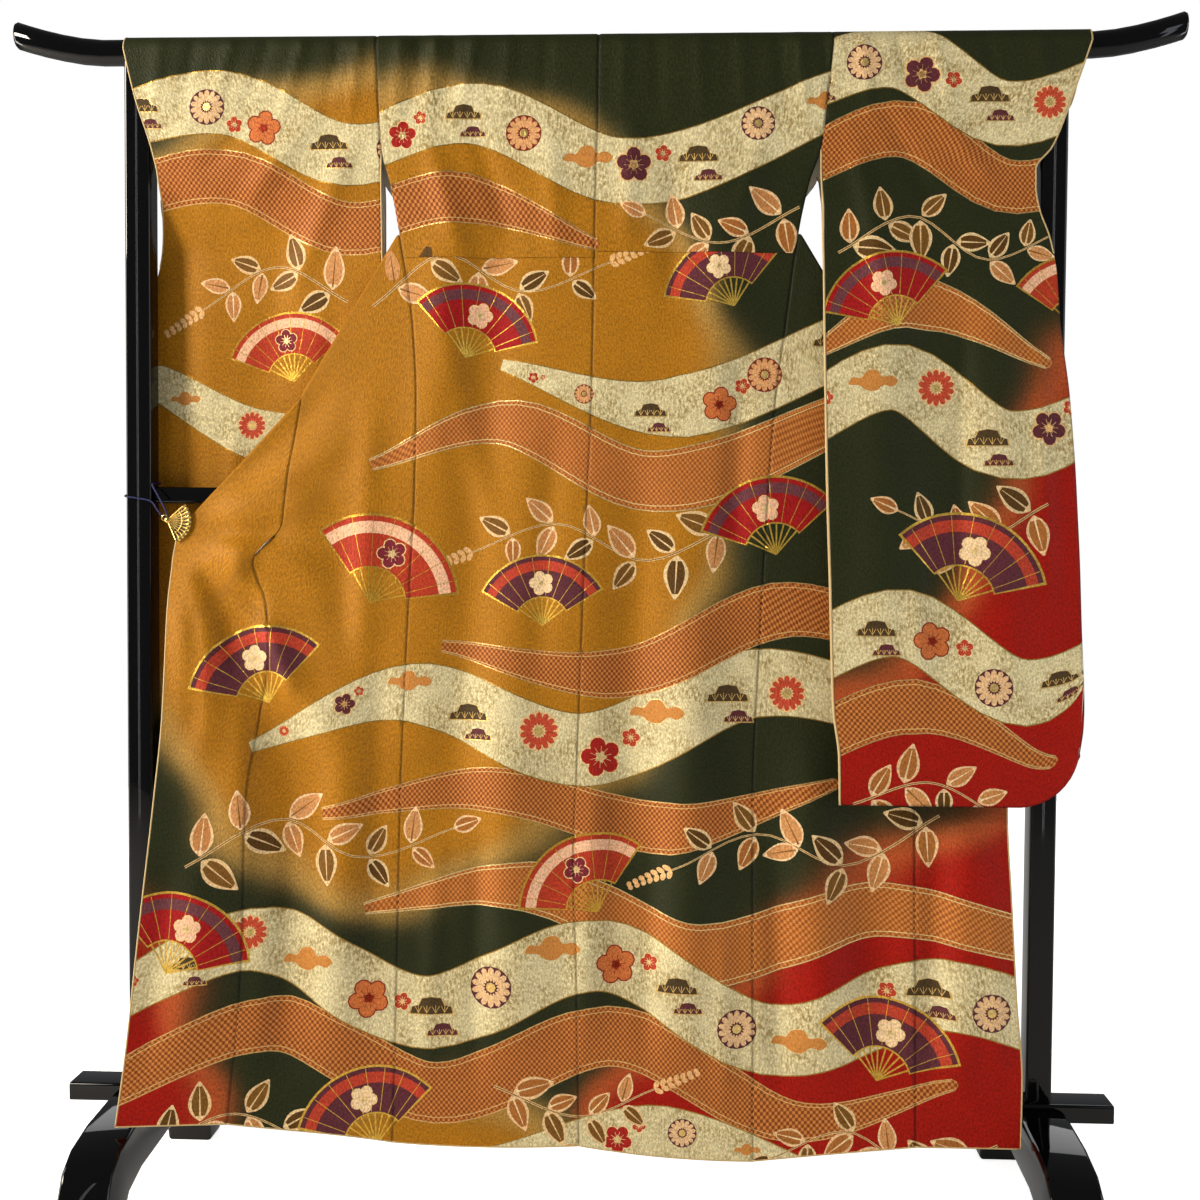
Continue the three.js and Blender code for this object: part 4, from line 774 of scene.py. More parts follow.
def daisy(at, size, tones=("#d9a06a", "#7a2a1c"), petals=14):
    """A chrysanthemum of narrow petals in two rings."""
    made = [dyed(disc(at, size * 0.5, 20), tones[1])]
    for k in range(petals):
        angle = (k + 0.5) * 2 * math.pi / petals
        made.append(dyed(oval(at + heading(angle) * size * 0.14, angle, size * 0.34, size * 0.15, 8, 0.3), tones[0]))
    made.append(dyed(disc(at, size * 0.12, 8), "#e6c478", gilded))
    return made


def pine(at, size, tones=("#4a3a22", "#d8b26a")):
    """A tuft of pine: a low mound with needles."""
    top = [(-0.5, 0), (-0.46, 0.16), (-0.30, 0.20), (-0.22, 0.36), (0, 0.40), (0.22, 0.36), (0.30, 0.20),
        (0.46, 0.16), (0.5, 0)]
    made = [
        dyed(at + np.array(top) * size * 1.06 + (0, -0.001), tones[1], gilded),
        dyed(at + np.array(top) * size * 0.96 + (0, 0.0005), tones[0]),
    ]
    for x in (-0.3, -0.1, 0.1, 0.3):
        foot = at + np.array([x * size, size * 0.03])
        for lean in (-0.5, 0, 0.5):
            made.append(dyed(drawn([foot, foot + heading(math.pi / 2 + lean) * size * 0.17], 0.0007), tones[1]))
    return made


def cloud(at, width, code="#c0843e", finish_=netted_):
    """A drifting cloud with rounded lobes."""
    lobes = [(-0.5, 0), (-0.42, 0.13), (-0.24, 0.12), (-0.14, 0.25), (0.08, 0.27), (0.18, 0.14), (0.36, 0.17),
        (0.5, 0.05),
             (0.38, -0.06), (0.20, -0.03), (0.06, -0.14), (-0.16, -0.12), (-0.26, -0.04)]
    shape = flowing(lobes, 44, closed=True)
    return [dyed(at + shape * width * 1.04, "#e4cd92", gilded), dyed(at + shape * width, code, finish_)]


def band(points, widths, kind, motifs=(), every=0.085):
    """One band of mist: its gold-lined outline with a rounded end, its fill, and what is on it."""
    rough = np.array(points, float)
    reach = np.linalg.norm(np.diff(rough, axis=0), axis=1).sum()
    count = max(12, int(reach / 0.022))
    line = flowing(points, count)
    side_, way = beside(line)
    wide = np.interp(np.linspace(0, 1, count), np.linspace(0, 1, len(widths)), widths)[:, None]
    fill, finish_, rim = {
        "cream": ("#ddd0a2", dusty, "#a07c34"),
        "net": ("#85441a", netted_, "#d2aa6c"),
        "ochre": ("#985420", netted_, "#dcc286"),
    }[kind]

    def outline(extra):
        a, b = line + side_ * (wide / 2 + extra), line - side_ * (wide / 2 + extra)
        ends = [line[-1] + (way[-1] + side_[-1] * k) * wide[-1] * (0.55 - 0.2 * abs(k)) for k in (0.7, 0, -0.7)]
        return np.vstack([a, ends, b[::-1]])

    made = [dyed(outline(0.0016), rim, gilded), dyed(outline(0), fill, finish_)]
    if kind != "cream":
        for inset in (0.42, -0.42):
            made.append(dyed(drawn(line + side_ * wide * inset, 0.0012), rim))
    spots = int(reach / every) if motifs else 0
    for k in range(spots):
        i = min(int((k + 0.55) / spots * (count - 1)), count - 2)
        across = chance.uniform(-0.17, 0.17)
        at, w = line[i] + side_[i] * wide[i] * across, float(wide[i][0])
        made += figure(motifs[k % len(motifs)], at, w, way[i], side_[i])
    return made


def figure(kind, at, w, way, side_):
    """One of the small figures on a cream band of width w."""
    if kind == "plum":
        small = at + way * w * 0.45 + side_ * w * 0.18
        tones = chance.choice([("#a3221a", "#e9c98c"), ("#c9703a", "#8a2a18"), ("#5a2a30", "#e0b070")])
        return plum(at, w * 0.55, tones) + plum(small, w * 0.26, ("#b8402a", "#e9c98c"))
    if kind == "daisy":
        return daisy(at, w * 0.58, chance.choice([("#d9a06a", "#7a2a1c"), ("#e0b888", "#5a2a30"),
            ("#c04a30", "#e0bc84")]))
    if kind == "pine":
        return pine(at, w * 0.62) + pine(at + (w * 0.16, -w * 0.30), w * 0.44, ("#5a2c30", "#d8b26a"))
    return cloud(at, w * 0.78)


def folding_fan(at, angle, size, tones):
    """An open folding fan: gilded ribs, and paper with a coloured border and a blossom."""
    rim, paper, border, blossom = tones

    def sector(inner_, outer, half_):
        turn_ = angle + np.linspace(-half_, half_, 18)
        arc = size * np.stack([np.cos(turn_), np.sin(turn_)], 1)
        return at + np.vstack([arc * outer, (arc * inner_)[::-1]])

    made = []
    for k in range(9):
        ray = heading(angle + (k - 4) * 0.235) * size
        made.append(dyed(drawn([at, at + ray * 0.5], 0.0022), rim, gilded))
    made.append(dyed(sector(0.40, 1.03, 1.06), rim, gilded))
    made.append(dyed(sector(0.42, 1.00, 1.03), paper))
    made.append(dyed(sector(0.80, 0.94, 1.03), border))
    for k in range(8):
        ray = heading(angle + (k - 3.5) * 0.256) * size
        made.append(dyed(drawn([at + ray * 0.43, at + ray * 0.99], 0.0009), rim, gilded))
    return made + plum(at + heading(angle) * size * 0.61, size * 0.34, (blossom, "#e9c98c"))


fan_tones = [
    ("#d8b04a", "#a01818", "#6a3a40", "#eebb95"),
    ("#d8b04a", "#5c2c34", "#b8402a", "#f0cfa0"),
    ("#c89c3c", "#b23a22", "#eebb95", "#7a2430"),
]

# the bands of the body, in groups at hem, knee, waist and shoulder: way, widths, kind, what is on it
body_bands = [
    ([(-0.66, 0.20), (-0.42, 0.285), (-0.20, 0.19), (0.04, 0.27), (0.30, 0.16), (0.50, 0.22)],
     (0.05, 0.075, 0.085, 0.07, 0.014), "net", ()),
    ([(-0.30, 0.44), (-0.08, 0.475), (0.16, 0.385), (0.40, 0.45), (0.66, 0.40)], (0.014, 0.07, 0.085, 0.07, 0.05),
     "ochre", ()),
    ([(-0.66, 0.31), (-0.45, 0.40), (-0.22, 0.30), (0.02, 0.38), (0.26, 0.27), (0.50, 0.34), (0.68, 0.28)],
     (0.05, 0.09, 0.10, 0.09, 0.10, 0.08),
     "cream", ("plum", "pine", "daisy", "cloud")),
    ([(-0.40, 0.11), (-0.15, 0.08), (0.10, 0.14), (0.36, 0.08)], (0.014, 0.065, 0.075, 0.014), "cream",
     ("daisy", "cloud", "plum")),
    ([(-0.36, 0.57), (-0.12, 0.605), (0.10, 0.555), (0.34, 0.62)], (0.014, 0.06, 0.07, 0.014), "net", ()),
    ([(-0.46, 0.66), (-0.25, 0.735), (0.00, 0.66), (0.24, 0.755), (0.50, 0.69)], (0.014, 0.085, 0.10, 0.09, 0.06),
     "cream",
     ("daisy", "plum", "cloud", "pine")),
    ([(-0.20, 0.80), (0.05, 0.765), (0.28, 0.855), (0.48, 0.80)], (0.014, 0.065, 0.075, 0.05), "net", ()),
    ([(-0.30, 1.05), (-0.12, 1.11), (0.08, 1.03), (0.38, 1.13)], (0.014, 0.07, 0.085, 0.06), "ochre", ()),
    ([(-0.12, 1.19), (0.10, 1.13), (0.38, 1.23)], (0.014, 0.085, 0.08), "cream", ("plum", "daisy", "pine")),
    ([(-0.36, 1.40), (-0.18, 1.455), (0.02, 1.39)], (0.06, 0.07, 0.014), "net", ()),
    ([(-0.36, 1.50), (-0.15, 1.57), (0.05, 1.49), (0.38, 1.60)], (0.06, 0.085, 0.09, 0.07), "cream",
     ("cloud", "plum", "pine", "daisy")),
]
right_sleeve_bands = [
    ([(0.26, 1.45), (0.43, 1.51), (0.57, 1.43), (0.76, 1.50)], (0.06, 0.075, 0.07, 0.05), "net", ()),
    ([(0.26, 1.56), (0.42, 1.61), (0.56, 1.53), (0.76, 1.60)], (0.07, 0.09, 0.085, 0.06), "cream",
     ("pine", "daisy", "plum")),
    ([(0.30, 1.20), (0.44, 1.27), (0.62, 1.19)], (0.014, 0.07, 0.014), "ochre", ()),
    ([(0.26, 1.09), (0.42, 1.17), (0.56, 1.08), (0.78, 1.17)], (0.07, 0.09, 0.09, 0.06), "cream",
     ("plum", "cloud", "daisy", "pine")),
    ([(0.26, 0.66), (0.44, 0.73), (0.62, 0.65)], (0.06, 0.07, 0.014), "net", ()),
    ([(0.26, 0.77), (0.42, 0.84), (0.58, 0.75), (0.78, 0.83)], (0.07, 0.09, 0.085, 0.06), "cream",
     ("daisy", "pine", "plum")),
]
left_sleeve_bands = [
    ([(-0.14, 1.44), (-0.34, 1.38), (-0.50, 1.45), (-0.76, 1.39)], (0.06, 0.07, 0.07, 0.05), "net", ()),
    ([(-0.14, 1.54), (-0.34, 1.48), (-0.50, 1.55), (-0.76, 1.49)], (0.06, 0.085, 0.085, 0.06), "cream",
     ("plum", "daisy", "pine")),
    ([(-0.28, 1.16), (-0.44, 1.09), (-0.62, 1.17)], (0.014, 0.075, 0.05), "cream", ("cloud", "plum", "daisy")),
]
body_sprays = [
    ([(-0.30, 1.27), (-0.20, 1.34), (-0.09, 1.29), (0.03, 1.33)], 5, 0.050, True),
    ([(0.30, 1.44), (0.19, 1.39), (0.09, 1.43)], 4, 0.048, False),
    ([(0.20, 0.97), (0.08, 0.92), (-0.04, 0.97), (-0.16, 0.93)], 6, 0.050, True),
    ([(-0.54, 0.50), (-0.42, 0.56), (-0.30, 0.51), (-0.18, 0.55)], 6, 0.052, False),
    ([(0.48, 0.58), (0.36, 0.51), (0.24, 0.55), (0.12, 0.50)], 6, 0.050, True),
    ([(-0.58, 0.12), (-0.47, 0.17), (-0.36, 0.12)], 4, 0.048, False),
    ([(0.56, 0.14), (0.46, 0.10), (0.36, 0.15), (0.26, 0.11)], 5, 0.050, False),
    ([(-0.12, 0.20), (0.00, 0.16), (0.10, 0.20)], 4, 0.046, True),
]
right_sleeve_sprays = [
    ([(0.34, 1.34), (0.44, 1.39), (0.54, 1.33), (0.64, 1.37)], 6, 0.048, True),
    ([(0.62, 1.00), (0.52, 0.95), (0.42, 0.99)], 4, 0.050, False),
    ([(0.36, 0.60), (0.46, 0.63), (0.56, 0.58)], 4, 0.046, True),
]
left_sleeve_sprays = [
    ([(-0.34, 1.28), (-0.44, 1.33), (-0.55, 1.27)], 4, 0.048, True),
]
# where each fan's ribs meet, the way it opens, how long it is, and its colours
body_fans = [
    ((-0.17, 1.20), 1.25, 0.100, 0), ((0.20, 1.27), 1.95, 0.095, 1), ((-0.30, 0.86), 1.15, 0.120, 2), ((0.26, 0.93),
     1.80, 0.105, 0),
    ((-0.44, 0.72), 1.90, 0.105, 1), ((-0.06, 0.83), 1.60, 0.095, 1), ((-0.56, 0.36), 1.15, 0.105, 0), ((0.02, 0.44),
     2.05, 0.105, 2),
    ((0.40, 0.22), 1.30, 0.110, 1), ((-0.28, 0.12), 1.85, 0.105, 1),
]
right_sleeve_fans = [((0.50, 0.87), 1.25, 0.115, 1), ((0.42, 1.24), 1.90, 0.100, 0), ((0.66, 1.24), 1.5, 0.095, 2)]
left_sleeve_fans = [((-0.42, 1.17), 1.75, 0.095, 2)]


def all_figures(bands, sprays, fans=()):
    made = []
    for points, widths, kind, motifs in bands:
        made += band(points, widths, kind, motifs)
    for points, pairs, size, buds in sprays:
        made += spray(points, pairs, size, buds)
    for at, angle, size, tone_ in fans:
        made += folding_fan(np.array(at), angle, size, fan_tones[tone_])
    return made


# behind the rail the fronts carry fewer bands, given in the cut's own measures, and the collar a few blossoms
far_bands = [
    ([(-0.30, 1.70), (-0.33, 1.54), (-0.39, 1.40), (-0.48, 1.27), (-0.60, 1.14)], (0.04, 0.055, 0.065, 0.06), "cream",
     ("plum", "pine", "pine", "daisy", "cloud")),
    ([(0.33, 1.70), (0.35, 1.54), (0.41, 1.40), (0.50, 1.27), (0.62, 1.15)], (0.04, 0.06, 0.07, 0.06), "net", ()),
    ([(0.42, 1.70), (0.43, 1.56), (0.47, 1.43), (0.53, 1.33)], (0.04, 0.055, 0.05), "cream",
     ("daisy", "pine", "plum")),
]
far_sprays = [
    ([(-0.43, 1.62), (-0.40, 1.52), (-0.45, 1.42), (-0.43, 1.31), (-0.50, 1.20)], 6, 0.044, False),
    ([(0.29, 1.58), (0.33, 1.46), (0.36, 1.36), (0.34, 1.25)], 5, 0.044, True),
]
collar_figures = []
for k in range(9):
    at = np.array([-0.72 + 0.18 * k, 2.43])
    collar_figures += plum(at, 0.045) if k % 2 else daisy(at, 0.045)
far_sleeve_bands = [
    ([(0.36, 1.66), (0.41, 1.80), (0.44, 1.98), (0.46, 2.20), (0.42, 2.44), (0.40, 2.66)], (0.06, 0.08, 0.09),
     "cream", ("pine", "plum", "cloud", "daisy")),
    ([(0.47, 1.66), (0.53, 1.82), (0.56, 2.00), (0.60, 2.18), (0.61, 2.36)], (0.05, 0.07, 0.07), "net", ()),
]
far_sleeve_sprays = [([(0.62, 1.86), (0.55, 2.02), (0.58, 2.18), (0.52, 2.34)], 7, 0.047, True)]
left_far_bands = [
    ([(-0.66, 1.70), (-0.53, 1.92), (-0.44, 2.18), (-0.42, 2.40)], (0.06, 0.07, 0.08), "cream",
     ("plum", "pine", "pine")),
]
left_far_sprays = [([(-0.36, 1.78), (-0.42, 1.92), (-0.52, 2.04), (-0.56, 2.20)], 7, 0.047, False)]
body_figures = all_figures(body_bands, body_sprays, body_fans)
right_sleeve_figures = all_figures(right_sleeve_bands + far_sleeve_bands, right_sleeve_sprays + far_sleeve_sprays,
    right_sleeve_fans)
left_sleeve_figures = all_figures(left_sleeve_bands + left_far_bands, left_sleeve_sprays + left_far_sprays,
    left_sleeve_fans)
far_figures = all_figures(far_bands, far_sprays)


def reach_of(outline):
    """Signed distance from points to a closed outline, positive inside."""
    shape = flowing(outline, 120, closed=True)
    a, b = shape, np.roll(shape, -1, 0)
    way = b - a
    length = (way**2).sum(1)

    def at(points):
        near = np.full(len(points), 9.0)
        for start, step, size in zip(a, way, length):
            t = np.clip(((points - start) @ step) / size, 0, 1)
            near = np.minimum(near, np.linalg.norm(points - start - t[:, None] * step, axis=1))
        return np.where(inside(points, shape), near, -near)

    return at


# the brushed zones: an amber field in a green surround, with red at the lower right, the left hem and the sleeve
amber_field = reach_of([
    (-0.95, 1.38), (-0.60, 1.47), (-0.47, 1.55), (-0.27, 1.595), (-0.06, 1.565), (0.09, 1.44), (0.185, 1.24), (0.20,
     1.00),
    (0.14, 0.79), (0.03, 0.62), (-0.14, 0.50), (-0.34, 0.455), (-0.49, 0.55), (-0.60, 0.70), (-0.95, 0.82),
])
hem_patch = reach_of([(-0.37, 0.05), (-0.33, 0.155), (-0.20, 0.185), (-0.06, 0.165), (-0.01, 0.05), (-0.2, 0.0)])
red_hem = reach_of([
    (0.02, 0.0), (0.02, 0.17), (0.15, 0.30), (0.29, 0.43), (0.42, 0.53), (0.60, 0.60), (0.95, 0.66), (0.95,
     0.0), (0.4, -0.2),
])
red_corner = reach_of([(-0.95, 0.53), (-0.66, 0.49), (-0.57, 0.41), (-0.53, 0.30), (-0.50, 0.15), (-0.50, -0.05),
    (-0.95, -0.05)])
red_sleeve = reach_of([
    (0.30, 0.72), (0.40, 0.77), (0.48, 0.85), (0.54, 0.96), (0.60, 1.10), (0.66, 1.22), (0.95, 1.26), (0.95,
     0.30), (0.3, 0.30),
])
red_far = reach_of([(0.2, 2.40), (0.5, 2.30), (0.8, 2.16), (0.95, 2.9), (0.2, 2.9)])
amber_hidden = reach_of([(-0.95, 1.36), (-0.42, 1.34), (-0.22, 1.30), (-0.20, 0.6), (-0.95, 0.6)])
amber_far = reach_of([(-0.95, 1.92), (-0.5, 1.86), (-0.1, 1.95), (-0.1, 3.0), (-0.95, 3.0)])


def brushed(at, zones):
    """The ground colour at points: green, then each zone brushed in over it with a paler rim."""
    colour = np.tile(np.array(linear("#272b14")[:3]), (len(at), 1))
    wander = 0.010 * np.sin(at[:, 0] * 23 + 1.3 * np.sin(at[:, 1] * 17)) + 0.007 * np.sin(at[:, 1] * 41 + at[:,
        0] * 13)
    for zone, fill, rim, soft in zones:
        d = zone(at) + wander
        rim_ = np.array(linear(rim)[:3])
        glow = (0.62 * np.exp(-(((d - soft * 0.15) / (soft * 0.42)) ** 2)))[:, None]
        share = smooth((d + soft * 0.5) / soft)[:, None]
        colour = mix(mix(colour, rim_, glow), np.array(linear(fill)[:3]), share * (1 - 0.5 * glow))
    return colour


amber, amber_rim, red, red_rim = "#aa7114", "#c8a860", "#9a1405", "#e0783a"


def ground(at):
    return brushed(at, [
        (red_hem, red, red_rim, 0.07), (red_corner, red, red_rim, 0.06),
        (hem_patch, amber, amber_rim, 0.06), (amber_field, amber, amber_rim, 0.065),
    ])


def far_ground(at):
    return brushed(at, [(amber_hidden, amber, amber_rim, 0.065)])


def right_sleeve_ground(at):
    return brushed(at, [(red_sleeve, red, red_rim, 0.07), (red_far, red, red_rim, 0.07)])


def left_sleeve_ground(at):
    return brushed(at, [(amber_field, amber, amber_rim, 0.065), (amber_far, amber, amber_rim, 0.065)])


edges_of = {"left": [], "right": []}

# ---- Backs --------------------------------------------------------------------------------------------------
# Two lengths of silk joined down the middle of the back, over the rail and a little way down behind it. A tuck
# sewn across each one below the shoulders (the waist tuck) parts it into a lower and an upper stretch.

crest_start, crest_end = 0.89, 0.98  # shares of a back's length


def back(a, b, v0, v1, tuck):
    """The place and the plan of a stretch of a back panel between two seams."""

    def flat_of(u, v):
        s = np.minimum(v, crest_start) / crest_start
        za, zb = mix(seam_foot[a], rail_z, s), mix(seam_foot[b], rail_z, s)
        x = mix(seam[a](za)[:, 0], seam[b](zb)[:, 0], u)
        z = mix(za, zb, u) - 0.005 * 4 * u * (1 - u) * (1 - smooth(5 * s))
        return x, z

    def place(u, v):
        v = mix(v0, v1, v)
        x, z = flat_of(u, v)
        near = near_depth(x, z) - gathered(x, z, gathers)
        if tuck:
            near = near - 0.0012 * np.exp(-np.maximum(v - v0, 0) / 0.02)
        turn_ = np.clip((v - crest_start) / (crest_end - crest_start), 0, 1)
        over = over_rail(x, turn_, mix(-near, crest_depth, smooth(turn_)))
        down = np.clip((v - crest_end) / (1 - crest_end), 0, 1)
        over[:, 2] -= (rail_z - far_hem) * down
        return np.where((v <= crest_start)[:, None], np.stack([x, near, z], -1), over)

    def plan(u, v):
        v = mix(v0, v1, v)
        x, z = flat_of(u, v)
        rise = np.maximum(v - crest_start, 0) / (crest_end - crest_start) * crest_length
        fall = np.minimum(v, 0) / crest_start * (rail_z - seam_foot[a])
        return np.stack([x + tuck * 0.012, z + rise + fall + tuck * 0.035], -1)

    return place, plan


def seams_at(width, left=True, right=True):
    """Relief of a panel that is sewn along its left or right edge."""

    def relief(u, v):
        height = np.zeros_like(u)
        if left:
            height = height + seam_dip(u * width)
        if right:
            height = height + seam_dip((1 - u) * width)
        return height

    return relief


def edge_path(place, us, vs):
    """A line along a panel's edge, midway through its thickness."""
    u, v = np.broadcast_arrays(np.array(us, float), np.array(vs, float))
    at, normal = on_panel(place, u, v)
    return at - normal * shell / 2


tuck_share = {"left": 0.7185, "right": 0.7235}
for side, a, b in (("left", "left_side", "centre"), ("right", "centre", "right_side")):
    middle = tuck_share[side]
    for part_, v0, v1, tuck, rows in (
        ("skirt", 0, middle + 0.004, 0, rows_between(0, 2, 0.004, 138, 0.996, 2, 1)),
        ("shoulder", middle, 1, 1, rows_between(0, 2, 0.01, 32, 0.62, 22, 0.93, 8, 1)),
    ):
        place, plan = back(a, b, v0, v1, tuck)
        length = (rail_z - seam_foot["centre"]) * (min(v1, crest_start) - v0) / crest_start + 0.068 * tuck
        make_cloth(
            f"back_{side}_{part_}", [f"back_{side}"], place, plan, (0.285, length), columns_for(0.285), rows,
            body_figures, ground, seams_at(0.285),
        )
        if not tuck:
            edges_of[side].append(edge_path(place, np.linspace(0, 1, 50), 0))

# ---- Fronts and overlap panels ------------------------------------------------------------------------------
# Each front is the same length of silk as the back, brought round over the shoulder. It hangs behind the rail, is
# folded forwards along a slanting edge and spread out sideways, with the narrower overlap panel sewn to it.

far_front = {name: through(rows) for name, rows in {
    "side": [
        (0, -0.263, -0.0116, 1.368), (0.08, -0.254, -0.009, 1.373), (0.2, -0.259, -0.003, 1.398),
        (0.32, -0.276, 0.006, 1.424), (0.44, -0.29, 0.013, 1.45), (0.7, -0.294, 0.017, 1.535),
        (1, -0.298, 0.0172, 1.6172),
    ],
    "middle": [
        (0, -0.3315, -0.0141, 1.2545), (0.08, -0.312, -0.014, 1.254), (0.2, -0.27, -0.012, 1.282),
        (0.32, -0.232, -0.006, 1.345), (0.44, -0.212, 0.002, 1.42), (0.7, -0.196, 0.014, 1.53),
        (1, -0.193, 0.0172, 1.6172),
    ],
    "okumi": [
        (0, -0.4, -0.0166, 1.141), (0.08, -0.376, -0.0165, 1.143), (0.2, -0.316, -0.016, 1.17),
        (0.32, -0.25, -0.012, 1.226), (0.44, -0.196, -0.004, 1.302), (0.7, -0.128, 0.01, 1.45),
        (1, -0.088, 0.0172, 1.6172),
    ],
}.items()}
overlap_tip = 0.54  # share of the way up the front's seam where the overlap panel ends in its point
neck_x = 0.0115


def quadratic(a, b, c, t):
    return a * (1 - t) * (1 - 2 * t) + b * 4 * t * (1 - t) + c * t * (2 * t - 1)


def hidden_front(across, t):
    """The far side of the left front: across 0 at the side to 1 at the overlap seam, t up to the shoulder."""
    return quadratic(*(far_front[name](t) for name in ("side", "middle", "okumi")), across[:, None])


far_edge = through([
    (0, -0.558, -0.018, 0.94), (0.2, -0.505, -0.02, 0.958), (0.5, -0.378, -0.018, 1.035),
    (0.8, -0.25, -0.009, 1.18),
    (1, *hidden_front(np.array([1.0]), np.array([overlap_tip]))[0]),
])


def mirrored(point):
    """A point of the left side on the right, where the clip sits nearer the middle and the shoulder further out."""
    x, z = point[:, 0], point[:, 2]
    clip = -0.022 * smooth((-x - 0.38) / 0.17)
    shoulder = 0.013 * smooth((z - 1.4) / 0.22) * smooth((-x - 0.12) / 0.15)
    return np.stack([2 * neck_x - x + clip + shoulder, point[:, 1], z], -1)


near_end, turn_end = 0.62, 0.72  # shares of a front's length to the start and the end of its turned edge


def spread(inner, outer, inner_top, outer_top, far, lean, cut, sign):
    """A spread piece between two lines: the place and the plan of its near stretch and of its hidden stretch.

    The cut gives the ends of the hidden stretch's lower and upper edge on the flat silk.
    """
    cut = np.array(cut)

    def place(u, v):
        across = 1 - u if sign < 0 else u
        share = np.minimum(v, near_end) / near_end
        z_in = mix(seam_foot[inner], inner_top, share)
        z_out = mix(seam_foot[outer], outer_top, share)
        x, z = mix(seam[inner](z_in)[:, 0], seam[outer](z_out)[:, 0], across), mix(z_in, z_out, across)
        base = np.stack([x, near_depth(x, z), z], -1)
        angle = np.pi * np.clip((v - near_end) / (turn_end - near_end), 0, 1)
        out = mix(*lean, across) * -sign
        away = np.stack([out, np.zeros_like(out), np.sqrt(1 - out**2)], -1)
        turned = base + away * (np.sin(angle) * fold_radius)[:, None]
        turned[:, 1] += fold_radius * (1 - np.cos(angle))
        t = np.clip((v - turn_end) / (1 - turn_end), 0, 1)
        shift = base + (0, 2 * fold_radius, 0) - far(across, np.zeros_like(t))
        hung = far(across, t) + shift * (1 - smooth(3 * t))[:, None]
        return np.where((v <= turn_end)[:, None], turned, hung)

    def near_place(u, v):
        return place(u, v * turn_end)

    def near_plan(u, v):
        at = place(u, np.minimum(v * turn_end, near_end))
        return at[:, [0, 2]] + np.stack([0 * v, np.maximum(v * turn_end - near_end, 0) * 0.13], -1)

    def hidden_place(u, v):
        return place(u, np.maximum(mix(turn_end, 1, v), turn_end + 1e-6))

    def hidden_plan(u, v):
        across = (1 - u if sign < 0 else u)[:, None]
        flat_ = mix(mix(*cut[0], across), mix(*cut[1], across), v[:, None])
        return flat_ * (sign, 1)

    return (near_place, near_plan), (hidden_place, hidden_plan)


def at_side(function, sign):
    return function if sign < 0 else lambda across, t: mirrored(function(across, t))


corner = np.array(corners["left"]) + (0, 2 * fold_radius, 0)


def hidden_overlap(across, t):
    one, none = np.ones_like(t), np.zeros_like(t)
    start = mix(hidden_front(one, none), corner, across[:, None])
    straight = mix(start, far_edge(1 - across), t[:, None])
    line = mix(hidden_front(one, none), hidden_front(one, overlap_tip * one), t[:, None])
    return straight + (hidden_front(one, overlap_tip * t) - line) * (1 - across)[:, None]


near_rows, turn_rows = rows_between(0, 112, near_end / turn_end, 12, 1), rows_between(0, 4, 0.02, 40, 1)
for side, sign in (("left", -1), ("right", 1)):
    near, hidden = spread(
        f"{side}_side", f"{side}_okumi", 1.368, 1.141, at_side(hidden_front, sign), (-0.86, -0.80),
        (((0.26, 1.20), (0.475, 1.20)), ((0.26, 1.62), (0.475, 1.62))), sign,
    )
    for label, (place, plan), nodes_, rows, length, drawn_on, zones, area in (
        ("", near, [f"front_{side}"], near_rows, 1.16, body_figures, ground, 0.24),
        ("_upper", hidden, [f"front_{side}_upper"], turn_rows, 0.42, far_figures, far_ground, 0.085),
    ):
        make_cloth(
            f"front_{side}{label}_silk", nodes_, place, plan, (0.215, length), columns_for(0.215), rows,
            drawn_on, zones, seams_at(0.215), area,
        )
    edges_of[side].append(edge_path(near[0], np.linspace(0, 1, 40), 0))
    near, hidden = spread(
        f"{side}_okumi", f"{side}_free", 1.1402, 0.952, at_side(hidden_overlap, sign), (-0.80, -0.73),
        (((0.475, 1.20), (0.610, 1.06)), ((0.475, 1.427), (0.620, 1.09))), sign,
    )
    for label, (place, plan), rows, length, drawn_on, zones, area in (
        ("", near, near_rows, 0.94, body_figures, ground, 0.125),
        ("_upper", hidden, turn_rows[::2] + [1.0], 0.42, far_figures, far_ground, 0.035),
    ):
        make_cloth(
            f"overlap_{side}{label}_silk", [f"okumi_{side}"], place, plan, (0.135, length), columns_for(0.135), rows,
            drawn_on, zones, seams_at(0.135, left=sign > 0, right=sign < 0), area,
        )
    edges_of[side].append(edge_path(near[0], np.linspace(0, 1, 26), 0))
    edges_of[side].append(edge_path(near[0], 0 if sign < 0 else 1, np.linspace(0, 1, 190)))

# ---- Collar -------------------------------------------------------------------------------------------------
# A long strip folded to 5.5 cm, sewn along the neck and down the slanting edges of the overlap panels.

collar_free = through([
    (0, -0.535, 0.905), (0.2, -0.478, 0.915), (0.5, -0.346, 0.991), (0.8, -0.205, 1.147), (1, -0.117, 1.338),
    (1.5, -0.075, 1.452), (2, -0.042, 1.545), (2.4, -0.022, 1.562), (3, 0.0115, 1.566),
])


def collar_place(u, v):
    w = 6 * np.clip(np.minimum(u, 1 - u), 0, 0.5)
    one = np.ones_like(w)
    top = np.stack([mix(-0.088, neck_x, w - 2), 0.0172 * one, 1.617 * one], -1)
    along_front = hidden_front(one, mix(overlap_tip, 1.0, np.clip(w - 1, 0, 1)))
    start = np.where((w <= 1)[:, None], far_edge(np.minimum(w, 1)), np.where((w <= 2)[:, None], along_front, top))
    start[:, 2] = np.minimum(start[:, 2], 1.617)
    free_ = collar_free(w)
    end = np.stack([free_[:, 0], start[:, 1], free_[:, 1]], -1)
    way = unit(end - start)
    point = mix(start, end, v[:, None]) + way * (0.0002 * (1 - v))[:, None]
    return np.where((u <= 0.5)[:, None], point, mirrored(point))


